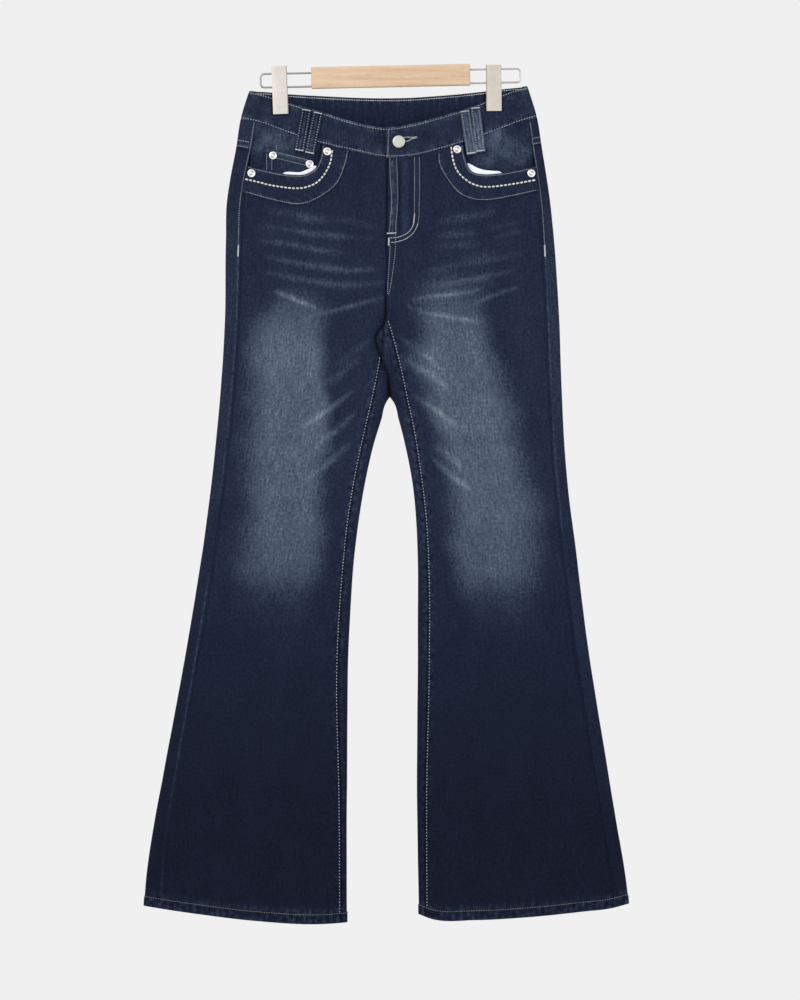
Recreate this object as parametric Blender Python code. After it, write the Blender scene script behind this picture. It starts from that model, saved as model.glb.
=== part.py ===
"""Bootcut jeans that hang by their waistband from a clip hanger, built panel by panel as they are sewn.

The frame is in metres, +Z up. The front faces -Y and +X is the wearer's left. The origin is the middle of
the top edge of the hanger's bar, where the hanger is held. Sizes in this file are millimetres.

Every cloth piece is a wall whose outer points lie on one skin, the flattened tube that the hanging jeans
make. A point of the skin is given by its side (-1 the wearer's right, +1 the left), its height z, its
face (-1 front, +1 back) and u, which runs from 1 at a leg's outer edge to -1 at its inner edge.
"""

import math

import bmesh
import bpy
import numpy as np

MM = 0.001
RIGHT, LEFT = -1, 1
FRONT, BACK = -1, 1

# Thickness of the cloth and the play between pieces
DENIM = 1.5
BAND = 2.4
POCKET_CLOTH = 1.2
BAG_CLOTH = 1.0
LOOP_CLOTH = 1.8
SEAM_GAP = 0.3
OVERLAY_GAP = 0.6
HEM_DEPTH = 12.0
HEM_THICK = 3.0
FLY_LAP = 1.2

# Shape of the flattened tube
FORK = -420.8
CROTCH = -322.0
VALLEY_LENGTH = 170.0
OUTER_ROUNDING = 8
INNER_ROUNDING = 5
FORK_WRAP = 1.2
EDGE_LEVEL = 0.3
HEM_REFERENCE = -1080.0
HEM_START = -985.0
WAIST_REFERENCE = -60.0
FLY_END = -240.0


def table(columns, rows):
    """Named columns of a table, with its rows sorted by the first column."""
    return dict(zip(columns.split(), np.array(sorted(rows), float).T))


# Outer edges of the hanging jeans, the inset of each side seam from them, and half the tube's depth
EDGES = table(
    "z right_outer left_outer right_inset left_inset half_depth",
    [
        (-26, -177.5, 174.0, 20.0, 12.0, 8.0),
        (-66, -189.9, 186.1, 20.0, 12.0, 10.0),
        (-105, -196.2, 192.4, 19.7, 12.5, 12.0),
        (-145, -203.8, 198.8, 19.0, 12.6, 14.0),
        (-171, -207.6, 202.6, 18.7, 13.0, 15.0),
        (-221, -208.9, 207.6, 17.8, 14.2, 15.5),
        (-323, -210.2, 214.0, 15.9, 14.6, 14.5),
        (-421, -216.5, 217.8, 15.6, 14.6, 13.5),
        (-526, -226.7, 224.2, 14.6, 14.0, 12.0),
        (-628, -240.7, 236.9, 14.6, 15.6, 11.0),
        (-729, -257.2, 249.6, 14.8, 16.0, 10.5),
        (-882, -285.1, 273.7, 16.4, 17.0, 11.0),
        (-958, -299.1, 286.4, 18.0, 17.4, 11.5),
        (-1034, -310.5, 299.1, 22.0, 18.0, 12.0),
        (-1090, -314.0, 305.0, 24.0, 18.6, 12.5),
    ],
)

# Centre line of the rise, from the waist to the fork
CENTRE = table("z x", [(-20, -3.0), (-117, -3.4), (-322, -5.4), (-380, -3.2), (FORK, -0.9)])

# Inner edges of the legs below the fork
INNER = table(
    "z right left",
    [
        (FORK, -1.1, -0.7),
        (-426, -4.8, 3.4),
        (-450, -12.1, 10.8),
        (-475, -19.7, 17.1),
        (-526, -31.1, 27.3),
        (-577, -40.0, 32.4),
        (-628, -46.4, 34.7),
        (-679, -50.2, 35.0),
        (-729, -52.7, 34.9),
        (-882, -55.2, 33.7),
        (-1090, -55.4, 36.2),
    ],
)

# Inseams, which lie on the front just inside the inner edges
INSEAM = table(
    "z right left",
    [
        (CROTCH, -7.6, -3.2),
        (-342, -9.8, 2.6),
        (-371, -13.1, 11.0),
        (-425, -23.6, 22.7),
        (-463, -32.5, 29.4),
        (-503, -40.5, 35.4),
        (-576, -53.0, 44.4),
        (-640, -59.6, 47.6),
        (-758, -66.8, 48.0),
        (-930, -64.1, 44.6),
        (-1090, -63.2, 45.2),
    ],
)

# Edges of the waistband across the jeans; the front dips in the middle
WAIST = table(
    "x front_top front_bottom back_top back_bottom",
    [
        (-190, -32.0, -67.7, -32.0, -67.7),
        (-160, -38.0, -74.5, -33.5, -70.5),
        (-129, -47.6, -85.5, -36.3, -73.5),
        (-86, -59.6, -99.5, -38.5, -76.5),
        (-43, -73.0, -109.5, -40.5, -78.5),
        (-3, -79.6, -117.5, -41.0, -79.0),
        (23, -75.7, -116.2, -40.5, -78.5),
        (63, -64.9, -106.5, -38.0, -76.3),
        (90, -56.9, -98.2, -35.8, -74.0),
        (120, -46.2, -87.7, -32.8, -71.0),
        (155, -33.5, -74.8, -28.5, -67.5),
        (187, -25.8, -64.9, -25.8, -64.9),
    ],
)

# Half the depth of the mouth: pinched flat at the two clips, open between them
MOUTH = table(
    "x front back",
    [
        (-192, 9.0, 9.0),
        (-172, 8.0, 8.0),
        (-156, 2.6, 2.6),
        (-125, 2.6, 2.6),
        (-95, 8.0, 6.5),
        (-3, 17.0, 9.0),
        (84, 8.0, 6.5),
        (117, 2.6, 2.6),
        (146, 2.6, 2.6),
        (162, 8.0, 8.0),
        (190, 9.0, 9.0),
    ],
)
MOUTH_FADE = (-140.0, -66.0)

# Columns of points along the waistband, shared by the pieces that are sewn to it
WAIST_COLUMNS = {
    RIGHT: np.array([-171, -160, -154.5, -140.5, -126.5, -112, -98, -85.9, -66, -46, -27, -12.0]),
    LEFT: np.array([174.6, 166, 157, 144.5, 131, 118, 104.5, 91.8, 72, 50, 29, 12.0]),
}
OPENING_COLUMN = 7

# Lower edge of the hems across both legs
HEM = table(
    "x z",
    [
        (-314, -1066.5),
        (-242, -1077.0),
        (-175, -1085.0),
        (-87, -1089.5),
        (-55, -1087.6),
        (36, -1077.3),
        (50, -1082.4),
        (109, -1084.3),
        (167, -1081.2),
        (210, -1077.3),
        (245, -1073.5),
        (279, -1069.7),
        (305, -1063.4),
    ],
)

# Largest soft folds: face, from (x, z) to (x, z), half width and height, a trough where it is negative
FOLDS = table(
    "face x1 z1 x2 z2 width height",
    [
        (FRONT, -150, -225, -20, -262, 15, 1.6),
        (FRONT, 30, -262, 150, -232, 15, 1.5),
        (FRONT, -20, -352, -92, -400, 16, 1.8),
        (FRONT, -50, -420, -110, -470, 16, 1.5),
        (FRONT, 34, -352, 76, -392, 16, 1.6),
        (FRONT, 52, -430, 104, -470, 16, 1.5),
        (FRONT, -215, -600, -120, -660, 26, -1.6),
        (FRONT, 120, -640, 215, -600, 26, -1.6),
        (FRONT, -120, -760, -190, -1060, 30, 2.0),
        (FRONT, 150, -740, 200, -1060, 30, 2.0),
        (BACK, -160, -375, -40, -415, 18, -2.2),
        (BACK, 38, -415, 160, -375, 18, -2.2),
        (BACK, -170, -440, -70, -470, 20, -1.8),
        (BACK, 60, -470, 170, -440, 20, -1.8),
        (BACK, -200, -655, -100, -690, 24, -1.8),
        (BACK, 80, -690, 190, -655, 24, -1.8),
    ],
)

# Heights of the rows of points down a leg, below the seat
LEVELS = [-170, -205, -240, -280, CROTCH, -350, -380, -406, FORK, -428, -444, -470]
LEVELS += [-510, -560, -615, -675, -740, -820, -900, HEM_START, -1035]
LEVELS += [HEM_REFERENCE + HEM_DEPTH + 1, HEM_REFERENCE + HEM_DEPTH, HEM_REFERENCE]
LEVELS = np.array(LEVELS, float)

# Edge of each pocket opening and lower edge of the band sewn round it, from the side seam to the waist
POCKETS = {
    RIGHT: np.array(
        [
            (-181.7, -127.6, -185.2, -161.8),
            (-151.1, -135.0, -150.4, -171.6),
            (-130.2, -138.7, -115.6, -177.3),
            (-109.1, -140.3, -88.9, -167.9),
            (-94.4, -132.0, -67.4, -150.5),
            (-88.0, -118.2, -56.8, -126.5),
            (-85.9, -101.0, -52.7, -108.2),
        ]
    ),
    LEFT: np.array(
        [
            (179.7, -129.3, 187.2, -159.6),
            (162.9, -133.0, 154.3, -166.9),
            (141.9, -135.6, 125.2, -172.0),
            (120.8, -137.7, 103.3, -170.6),
            (104.9, -133.0, 82.9, -159.6),
            (96.6, -118.2, 62.6, -129.5),
            (91.8, -99.0, 59.9, -108.2),
        ]
    ),
}
OPENING_X, OPENING_Z, EDGE_X, EDGE_Z = range(4)
BAG_SHOWS = {RIGHT: (-134.0, -96.0), LEFT: (97.0, 138.0)}
COIN_LINE = ((-160.0, -104.3), (-98.0, -120.9))
FACING_TOP_ROW = 4.0
FACING_END = -163.0
FACING_DROP = 5.0
FACING_LIP = 0.3
COIN_STEP = 1.5
BAG_INSET = 2.0
BAG_HANG = 3.2

# Yoke seam at the back: its height at each side and at the centre
YOKE_SIDE = {RIGHT: -99.4, LEFT: -95.6}
YOKE_CENTRE = -146.0


def through(at, xs, ys):
    """Height at each place of the smooth cubic curve through a table's points, level past its ends."""
    slopes = np.gradient(ys, xs)
    first = np.clip(np.searchsorted(xs, at) - 1, 0, len(xs) - 2)
    step = xs[first + 1] - xs[first]
    t = np.clip((at - xs[first]) / step, 0.0, 1.0)
    start = (1 + 2 * t) * (1 - t) ** 2 * ys[first] + t * t * (3 - 2 * t) * ys[first + 1]
    return start + step * (t * (1 - t) ** 2 * slopes[first] - t * t * (1 - t) * slopes[first + 1])


def read(rows, column, at):
    """Value of a table's column at each place along its first column."""
    return through(np.asarray(at, float), next(iter(rows.values())), rows[column])


def smooth(value, low, high):
    """0 up to low and 1 from high, with an S-shaped step between them."""
    t = np.clip((value - low) / (high - low), 0.0, 1.0)
    return t * t * (3 - 2 * t)


def level_steps(at, rows, column):
    """Value of a table's column, with S-shaped steps between its rows: level stretches stay level."""
    xs, ys = rows["x"], rows[column]
    value = np.full(np.shape(at), ys[0])
    for i in range(len(xs) - 1):
        value = value + (ys[i + 1] - ys[i]) * smooth(at, xs[i], xs[i + 1])
    return value


def outer_edge(side, z):
    """x of a leg's outer edge."""
    return np.where(side < 0, read(EDGES, "right_outer", z), read(EDGES, "left_outer", z))


def inner_edge(side, z):
    """x of a leg's inner edge, which is the centre line above the fork."""
    below = np.where(side < 0, read(INNER, "right", z), read(INNER, "left", z))
    return np.where(z >= FORK, read(CENTRE, "x", z), below)


def side_seam(side, z):
    """x of the side seam, on the front."""
    inset = np.where(side < 0, read(EDGES, "right_inset", z), read(EDGES, "left_inset", z))
    return outer_edge(side, z) - side * inset


def inseam(side, z):
    """x of the inseam, on the front."""
    return np.where(side < 0, read(INSEAM, "right", z), read(INSEAM, "left", z))


def half_width(side, z):
    """Half of a leg's width."""
    return np.abs(outer_edge(side, z) - inner_edge(side, z)) / 2


def place(side, u, z):
    """x of the points at u across a leg."""
    return (outer_edge(side, z) + inner_edge(side, z)) / 2 + side * half_width(side, z) * u


def across(side, x, z):
    """u of the points at x across a leg."""
    return side * (x - (outer_edge(side, z) + inner_edge(side, z)) / 2) / half_width(side, z)


def valley(z):
    """How far the centre line sinks in: 0 at the hips, 1 at the fork and below it."""
    return 1 - np.sqrt(np.clip((z - FORK) / VALLEY_LENGTH, 0.0, 1.0))


def half_depth(x, z, face):
    """Half the tube's depth, led over to the shape of the pinched mouth near the waist."""
    mouth = np.where(face < 0, level_steps(x, MOUTH, "front"), level_steps(x, MOUTH, "back"))
    share = smooth(z, *MOUTH_FADE)
    return read(EDGES, "half_depth", z) * (1 - share) + mouth * share


def rounding(u):
    """Height of a flattened ellipse across a leg: 1 in the middle, 0 at the outer and the inner edge."""
    outer = np.sqrt(np.clip(1 - np.clip(u, 0, None) ** OUTER_ROUNDING, 0.0, 1.0))
    inner = np.sqrt(np.clip(1 - np.clip(-u, 0, None) ** INNER_ROUNDING, 0.0, 1.0))
    return np.where(u > 0, outer, inner)


def profile(u, z):
    """Share of the half depth at u; towards the centre line it falls only as far as the valley sinks in."""
    sunk = np.where(u > 0, 1.0, valley(z))
    return 1 - sunk + sunk * rounding(u)


def folds(x, z, face):
    """Height of the soft folds: for each one a bell across its line, fading past its ends."""
    height = np.zeros(np.shape(x))
    for fold_face, x1, z1, x2, z2, width, size in zip(*FOLDS.values()):
        along = np.array([x2 - x1, z2 - z1])
        t = np.clip(((x - x1) * along[0] + (z - z1) * along[1]) / (along @ along), 0.0, 1.0)
        distance = np.hypot(x - x1 - t * along[0], z - z1 - t * along[1])
        height = height + (face == fold_face) * size * np.exp(-((distance / width) ** 2))
    return height


def skin(side, u, z, face):
    """Points of the skin and its outward directions, as arrays with x, y and z last.

    A direction is the gradient of the flattened ellipse alone, level in z, so that every piece on the same
    spot moves out along the same line. By the centre line it keeps a share of its way to the front or back.
    """
    side, u, z, face = np.broadcast_arrays(side, np.asarray(u, float), np.asarray(z, float), face)
    x = place(side, u, z)
    depth = half_depth(x, z, face)
    points = np.stack([x, face * profile(u, z) * (depth + folds(x, z, face)), z], axis=-1)
    sunk = valley(z)
    level = np.maximum(rounding(u), np.where(u > 0, 0.0, EDGE_LEVEL * (1 - sunk)))
    rise_outer = OUTER_ROUNDING * np.clip(u, 0, None) ** (OUTER_ROUNDING - 1)
    rise_inner = INNER_ROUNDING * np.clip(-u, 0, None) ** (INNER_ROUNDING - 1) * sunk
    outward_x = side * (rise_outer - rise_inner) / half_width(side, z)
    outward = np.stack([outward_x, 2 * face * level / depth, np.zeros_like(x)], axis=-1)
    return points, outward / np.linalg.norm(outward, axis=-1, keepdims=True)


def at(side, x, z, face=FRONT):
    """Side, u, z and face of the points at the given x and z, as wall() takes them."""
    return side, across(side, x, z), z, face


def material(name, colour, roughness, metallic=0.0):
    """Principled material with one finish."""
    made = bpy.data.materials.new(name)
    made.use_nodes = True
    shader = made.node_tree.nodes["Principled BSDF"]
    shader.inputs["Base Color"].default_value = (*colour, 1.0)
    shader.inputs["Roughness"].default_value = roughness
    shader.inputs["Metallic"].default_value = metallic
    return made


def add(name, points, faces, finish, sharp_angle=50):
    """Object made of the points, in millimetres, and faces."""
    mesh = bpy.data.meshes.new(name)
    mesh.from_pydata((np.asarray(points) * MM).tolist(), [], faces)
    mesh.shade_smooth()
    mesh.set_sharp_from_angle(angle=math.radians(sharp_angle))
    mesh.materials.append(finish)
    made = bpy.data.objects.new(name, mesh)
    bpy.context.collection.objects.link(made)
    return made


def quads_of(kept):
    """Corner rows and columns of each kept quad of a grid, in turn round it."""
    row, column = np.nonzero(kept)
    return np.stack([row, row, row + 1, row + 1]), np.stack([column, column + 1, column + 1, column])


def wall(name, spots, finish, thick=DENIM, lift=0.0, kept=None):
    """Closed wall of cloth: a grid of skin points moved out by lift, the same moved in by thick, a rim."""
    points, outward = skin(*spots)
    if kept is None:
        kept = np.ones((points.shape[0] - 1, points.shape[1] - 1), bool)
    thick = np.broadcast_to(thick, points.shape[:2])[..., None]
    lift = np.broadcast_to(lift, points.shape[:2])[..., None]
    outside = points + outward * lift
    inside = outside - outward * thick
    rows, columns = quads_of(kept)
    corners = points[rows, columns]
    areas = np.cross(corners[2] - corners[0], corners[3] - corners[1])
    corner = (rows * points.shape[1] + columns).T
    if (areas * outward[rows[0], columns[0]]).sum() < 0:
        corner = corner[:, ::-1]
    used, index = np.unique(corner, return_inverse=True)
    front = index.reshape(corner.shape)
    back = front[:, ::-1] + len(used)
    edges = {(quad[i], quad[(i + 1) % 4]) for quad in front.tolist() for i in range(4)}
    rim = [(b, a, a + len(used), b + len(used)) for a, b in sorted(edges) if (b, a) not in edges]
    flat = [outside.reshape(-1, 3)[used], inside.reshape(-1, 3)[used]]
    return add(name, np.concatenate(flat), front.tolist() + back.tolist() + rim, finish)


def leg_rows(top, x_of):
    """Heights of a leg's rows: the top edge, a row half way to the first level, the levels and the hem."""
    z = np.concatenate([[top, (top + LEVELS[0]) / 2], np.repeat(LEVELS[:, None], len(top), 1)])
    below = z < HEM_START
    hem = read(HEM, "z", x_of(z))
    stretched = HEM_START + (z - HEM_START) * (hem - HEM_START) / (HEM_REFERENCE - HEM_START)
    return np.where(below, stretched, z)


def hem_wall(rows, columns):
    """Thickness and lift of a leg's points, where the last two rows are the folded hem."""
    thick = np.full((rows, columns), DENIM)
    lift = np.zeros((rows, columns))
    thick[-2:] = HEM_THICK
    lift[-2:] = (HEM_THICK - DENIM) / 2
    return thick, lift


def opening_height(side, x):
    """z of the pocket opening's edge at x, as deep as its lowest point where it climbs to the waist."""
    rows = POCKETS[side][np.argsort(POCKETS[side][:, OPENING_X])]
    return np.interp(x, rows[:, OPENING_X], rows[:, OPENING_Z])


def pocket_line(side, t, x_column, z_column):
    """x and z along an edge of the pocket band, t from 0 at the side seam to 1 at the waist."""
    rows = POCKETS[side]
    number = np.linspace(0.0, 1.0, len(rows))
    x = through(t, number, rows[:, x_column])
    z = through(t, number, rows[:, z_column])
    return x, np.minimum(z, read(WAIST, "front_bottom", x) - SEAM_GAP)


def fly_lap(x, z):
    """Lift of the folded fly edge and the doubled cloth behind it, inside its J-shaped stitching."""
    curve_x = 33.0 - 34.0 * smooth(-z, 195.0, 232.0)
    return FLY_LAP * smooth(curve_x - x, -4.0, 4.0)


def front_leg(side, finish):
    """Front panel from the side seam to the rise and the inseam, scooped out at the pocket opening."""
    opening_x, opening_z = pocket_line(side, np.linspace(0, 1, 7), OPENING_X, OPENING_Z)
    waist_x = WAIST_COLUMNS[side][OPENING_COLUMN + 1 :]
    waist_x = np.append(waist_x, read(CENTRE, "x", -117.0) + side * SEAM_GAP / 2)
    top_x = np.concatenate([opening_x, waist_x])
    top_z = np.concatenate([opening_z, read(WAIST, "front_bottom", waist_x) - SEAM_GAP])
    top_x[0] = side_seam(side, top_z[0]) - side * SEAM_GAP / 2
    low_share = np.array([0, 0.05, 0.13, 0.22, 0.32, 0.43, 0.54, 0.65, 0.76, 0.86, 0.94, 1.0])

    def start_and_end(z):
        rise = np.where(z > CROTCH + 1, read(CENTRE, "x", z), inseam(side, z))
        return side_seam(side, z) - side * SEAM_GAP / 2, rise + side * SEAM_GAP / 2

    top_start, top_end = start_and_end(top_z)
    top_share = (top_x - top_start) / (top_end - top_start)

    def x_of(z):
        start, end = start_and_end(z)
        share = top_share + (low_share - top_share) * smooth(top_z - z, 0.0, 120.0)
        return start + share * (end - start)

    z = leg_rows(top_z, x_of)
    x = x_of(z)
    thick, lift = hem_wall(*z.shape)
    if side == LEFT:
        lift = lift + fly_lap(x, z) * (z > FLY_END)
    name = "front_leg_left" if side == LEFT else "front_leg_right"
    return wall(name, at(side, x, z), finish, thick, lift)


# Columns from the side seam on the front out to the outer edge, and the face that each lies on
WRAP_SHARES = (1.0, 0.6, 0.3, 0.1, 0.0)
WRAP_FACES = (FRONT, FRONT, FRONT, FRONT, BACK)
# u of the columns across the back, and shares of the way from the inner edge to the inseam on the front
LEG_BACK_SHARES = (0.985, 0.94, 0.84, 0.62, 0.32, 0.0, -0.32, -0.64, -0.88)
INNER_SHARES = (0.0, 0.35, 0.7, 1.0)
YOKE_SHARES = (0.985, 0.94, 0.85, 0.73, 0.6, 0.45, 0.3, 0.15, 0.0, -0.2, -0.45, -0.7, -0.9)
YOKE_ROWS = 4
BAND_ROWS = 4


def wrap_columns(side, z):
    """u of the columns from the side seam on the front out to the outer edge."""
    seam = across(side, side_seam(side, z) + side * SEAM_GAP / 2, z)
    return [1 - (1 - seam) * share for share in WRAP_SHARES]


def own_columns(grids):
    """Grid whose column i is column i of the i-th of the given grids."""
    return np.stack([grid[..., i] for i, grid in enumerate(grids)], axis=-1)


def yoke_line(side, u, face):
    """Height of the yoke seam, level on the side and sloping down to the centre back."""
    share = np.where(face == BACK, (1 - u) / 2, 0.0)
    return YOKE_SIDE[side] + (YOKE_CENTRE - YOKE_SIDE[side]) * share


def back_leg(side, finish):
    """Back panel from the side seam on the front, round the outer edge and the back; below the fork it
    goes on round the inner edge to the inseam, and its point runs up the front to the crotch."""
    centre = len(WRAP_SHARES) + len(LEG_BACK_SHARES)
    faces = np.array([*WRAP_FACES, *[BACK] * (centre + 2 - len(WRAP_FACES)), *[FRONT] * len(INNER_SHARES)])
    top_u = [*wrap_columns(side, np.array(YOKE_SIDE[side])), *LEG_BACK_SHARES]
    top_u += [-1.0] * (len(faces) - centre)
    top = yoke_line(side, np.array(top_u), faces) - SEAM_GAP

    def u_of(z):
        edge = -1 + np.where(z > FORK, SEAM_GAP / 2, FORK_WRAP) / half_width(side, z)
        end = np.maximum(across(side, inseam(side, z) - side * SEAM_GAP / 2, z), edge + 0.01)
        grids = wrap_columns(side, z) + [np.full(z.shape, share) for share in LEG_BACK_SHARES]
        grids += [edge, np.full(z.shape, -1.0)]
        grids += [edge + (end - edge) * share for share in INNER_SHARES]
        return own_columns(grids)

    z = leg_rows(top, lambda z: place(side, u_of(z), z))
    thick, lift = hem_wall(*z.shape)
    kept = np.ones((z.shape[0] - 1, z.shape[1] - 1), bool)
    lower = z[1:, :1]
    kept[:, centre : centre + 2] = lower < FORK - 1
    kept[:, centre + 2 :] = lower < CROTCH - 1
    name = "back_leg_left" if side == LEFT else "back_leg_right"
    return wall(name, (side, u_of(z), z, faces), finish, thick, lift, kept)


def band_edges(x, face):
    """Heights of the waistband's top and lower edge at x."""
    top = np.where(face == FRONT, read(WAIST, "front_top", x), read(WAIST, "back_top", x))
    low = np.where(face == FRONT, read(WAIST, "front_bottom", x), read(WAIST, "back_bottom", x))
    return top, low


def yoke(side, finish):
    """Yoke between the back waistband and the back panel, wrapped round the side to the side seam."""
    faces = np.array([*WRAP_FACES, *[BACK] * (len(YOKE_SHARES) + 1)])

    def u_of(z):
        grids = wrap_columns(side, z) + [np.full(z.shape, share) for share in YOKE_SHARES]
        return own_columns([*grids, -1 + SEAM_GAP / 2 / half_width(side, z)])

    u = u_of(np.full(len(faces), WAIST_REFERENCE))
    _, top = band_edges(place(side, u, WAIST_REFERENCE), faces)
    z = np.linspace(top - 2 * SEAM_GAP, yoke_line(side, u, faces), YOKE_ROWS)
    name = "yoke_left" if side == LEFT else "yoke_right"
    return wall(name, (side, u_of(z), z, faces), finish)


# Columns of the waistband's ends at the side: u and face
BAND_WRAP = {
    FRONT: np.array([(0.985, BACK), (1.0, FRONT), (0.985, FRONT), (0.95, FRONT)]),
    BACK: np.array([(0.978, BACK), (0.95, BACK)]),
}
TAB_COLUMNS = np.array([4.0, 12.0, 21.0, 30.5])
TAB_STEP = (-24.0, -9.0)
END_SLANT = 0.02


def band_grid(side, face):
    """u, z and face of the waistband's points from the outer edge to the last column before the centre."""
    wrap, wrap_faces = BAND_WRAP[face].T
    faces = np.append(wrap_faces, np.full(len(WAIST_COLUMNS[side]), face))
    x = np.append(place(side, wrap, WAIST_REFERENCE), WAIST_COLUMNS[side])
    z = np.linspace(*band_edges(x, faces), BAND_ROWS)
    u = across(side, x, z)
    u[:, : len(wrap)] = wrap
    return u, z, faces


def front_band(side, finish):
    """Front length of the waistband; the right one runs on under the left as a tab for the button."""
    u, z, faces = band_grid(side, FRONT)
    end_x = np.array([read(CENTRE, "x", -100.0)])
    if side == RIGHT:
        end_x = np.append(end_x, TAB_COLUMNS)
    end_z = np.linspace(*band_edges(end_x, FRONT), BAND_ROWS)
    end_sides = np.where(np.arange(len(end_x)) == 0, side, LEFT)
    end_u = across(end_sides, end_x, end_z)
    if side == LEFT:
        end_u = end_u + np.linspace(-END_SLANT, END_SLANT, BAND_ROWS)[:, None]
        lift = 0.0
    else:
        under = smooth(np.append(WAIST_COLUMNS[side], end_x), *TAB_STEP)
        lift = -(BAND + OVERLAY_GAP) * np.append(np.zeros(len(BAND_WRAP[FRONT])), under)
    spots = (
        np.append(np.full(len(faces), side), end_sides),
        np.concatenate([u, end_u], axis=1),
        np.concatenate([z, end_z], axis=1),
        np.append(faces, np.full(len(end_x), FRONT)),
    )
    name = "waistband_front_left" if side == LEFT else "waistband_front_right"
    return wall(name, spots, finish, BAND, lift)


def back_band(finish):
    """Back length of the waistband, from one side to the other."""
    right_u, right_z, _ = band_grid(RIGHT, BACK)
    left_u, left_z, _ = band_grid(LEFT, BACK)
    middle_x = read(CENTRE, "x", WAIST_REFERENCE)
    middle_z = np.linspace(*band_edges(middle_x, BACK), BAND_ROWS)[:, None]
    u = np.concatenate([right_u, np.full((BAND_ROWS, 1), -1.0), left_u[:, ::-1]], axis=1)
    z = np.concatenate([right_z, middle_z, left_z[:, ::-1]], axis=1)
    sides = np.array([RIGHT] * (right_u.shape[1] + 1) + [LEFT] * left_u.shape[1])
    return wall("waistband_back", (sides, u, z, BACK), finish, BAND)


def facing_inset(side, x, z):
    """How far the pocket facing lies in: flush at its top, under the front panel below the opening."""
    above = z - opening_height(side, x)
    return FACING_LIP + (FACING_DROP - FACING_LIP) * smooth(-above, -25.0, -4.5)


def facing_grid(side):
    """x and z of the facing's points: rows down to the coin pocket's top edge, then more to its end."""
    (x1, z1), (x2, z2) = COIN_LINE
    x = WAIST_COLUMNS[side][: OPENING_COLUMN + 2]
    top = read(WAIST, "front_bottom", x) - SEAM_GAP
    line = np.minimum(z1 + (z2 - z1) * (-np.abs(x) - x1) / (x2 - x1), top - FACING_TOP_ROW)
    upper = np.linspace(top, line, 4)
    lower = np.linspace(line, np.full(len(x), FACING_END), 8)[1:]
    z = np.concatenate([upper, lower])
    x = x + 0 * z
    x[:, 0] = side_seam(side, z[:, 0]) - side * SEAM_GAP / 2
    return x, z


def pocket_facing(side, finish):
    """Denim that fills the pocket opening, from the waistband and side seam to under the front panel."""
    x, z = facing_grid(side)
    name = "pocket_facing_left" if side == LEFT else "pocket_facing_right"
    return wall(name, at(side, x, z), finish, POCKET_CLOTH, -facing_inset(side, x, z))


def coin_pocket(finish):
    """Small patch pocket on the right facing, its top edge sloping to the front."""
    x, z = facing_grid(RIGHT)
    x, z = x[3:-1, 1:7], z[3:-1, 1:7]
    return wall("coin_pocket", at(RIGHT, x, z), finish, BAG_CLOTH, COIN_STEP - facing_inset(RIGHT, x, z))


def pocket_band(side, finish):
    """Shaped band sewn on the front panel along the pocket opening."""
    t = np.linspace(0, 1, 13)
    opening_x, opening_z = pocket_line(side, t, OPENING_X, OPENING_Z)
    edge_x, edge_z = pocket_line(side, t, EDGE_X, EDGE_Z)
    share = np.linspace(0, 1, 4)[:, None]
    x = opening_x + (edge_x - opening_x) * share
    z = opening_z + (edge_z - opening_z) * share
    x[:, 0] = side_seam(side, z[:, 0]) - side * SEAM_GAP / 2
    z[:, -1] = np.minimum(z[:, -1], read(WAIST, "front_bottom", x[:, -1]) - SEAM_GAP)
    name = "pocket_band_left" if side == LEFT else "pocket_band_right"
    lift = OVERLAY_GAP + POCKET_CLOTH
    return wall(name, at(side, x, z), finish, POCKET_CLOTH, lift)


def pocket_bag(side, finish):
    """Pocket bag behind the front panel; its edge peeps out in the lowest part of the opening."""
    near, far = BAG_SHOWS[side]
    middle, half = (near + far) / 2, (far - near) / 2
    share = np.linspace(-1, 1, 9)
    top_x = middle + 1.55 * half * share
    top = opening_height(side, top_x) + 6.0 * np.exp(-((share * 1.4) ** 4)) - 2.5
    top = np.minimum(top, opening_height(side, np.clip(top_x, near, far)) + 4.0)
    down = np.linspace(0, 1, 7)[:, None] ** 1.4
    x = top_x + (middle + 1.9 * half * share - top_x) * np.sin(down * math.pi / 2)
    bottom = -318.0 - 22.0 * np.sqrt(np.clip(1 - share**4, 0, 1))
    z = top + (bottom - top) * down
    name = "pocket_bag_left" if side == LEFT else "pocket_bag_right"
    inset = BAG_INSET + BAG_HANG * smooth(-z, 166.0, 200.0)
    return wall(name, at(side, x, z), finish, BAG_CLOTH, -inset)


def fly_shield(finish):
    """Strip behind the fly that closes it on the inside, sewn to the right front."""
    x = np.linspace(-27.0, 15.0, 6)
    z = np.linspace(-120.5, -232.0, 6)[:, None] + 0 * x
    x = x + 0 * z
    side = np.where(x < read(CENTRE, "x", z), RIGHT, LEFT)
    return wall("fly_shield", at(side, x, z), finish, POCKET_CLOTH, -DENIM - OVERLAY_GAP)


LOOP_WIDTH = 11.6
LOOP_ARCH = 1.4
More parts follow.
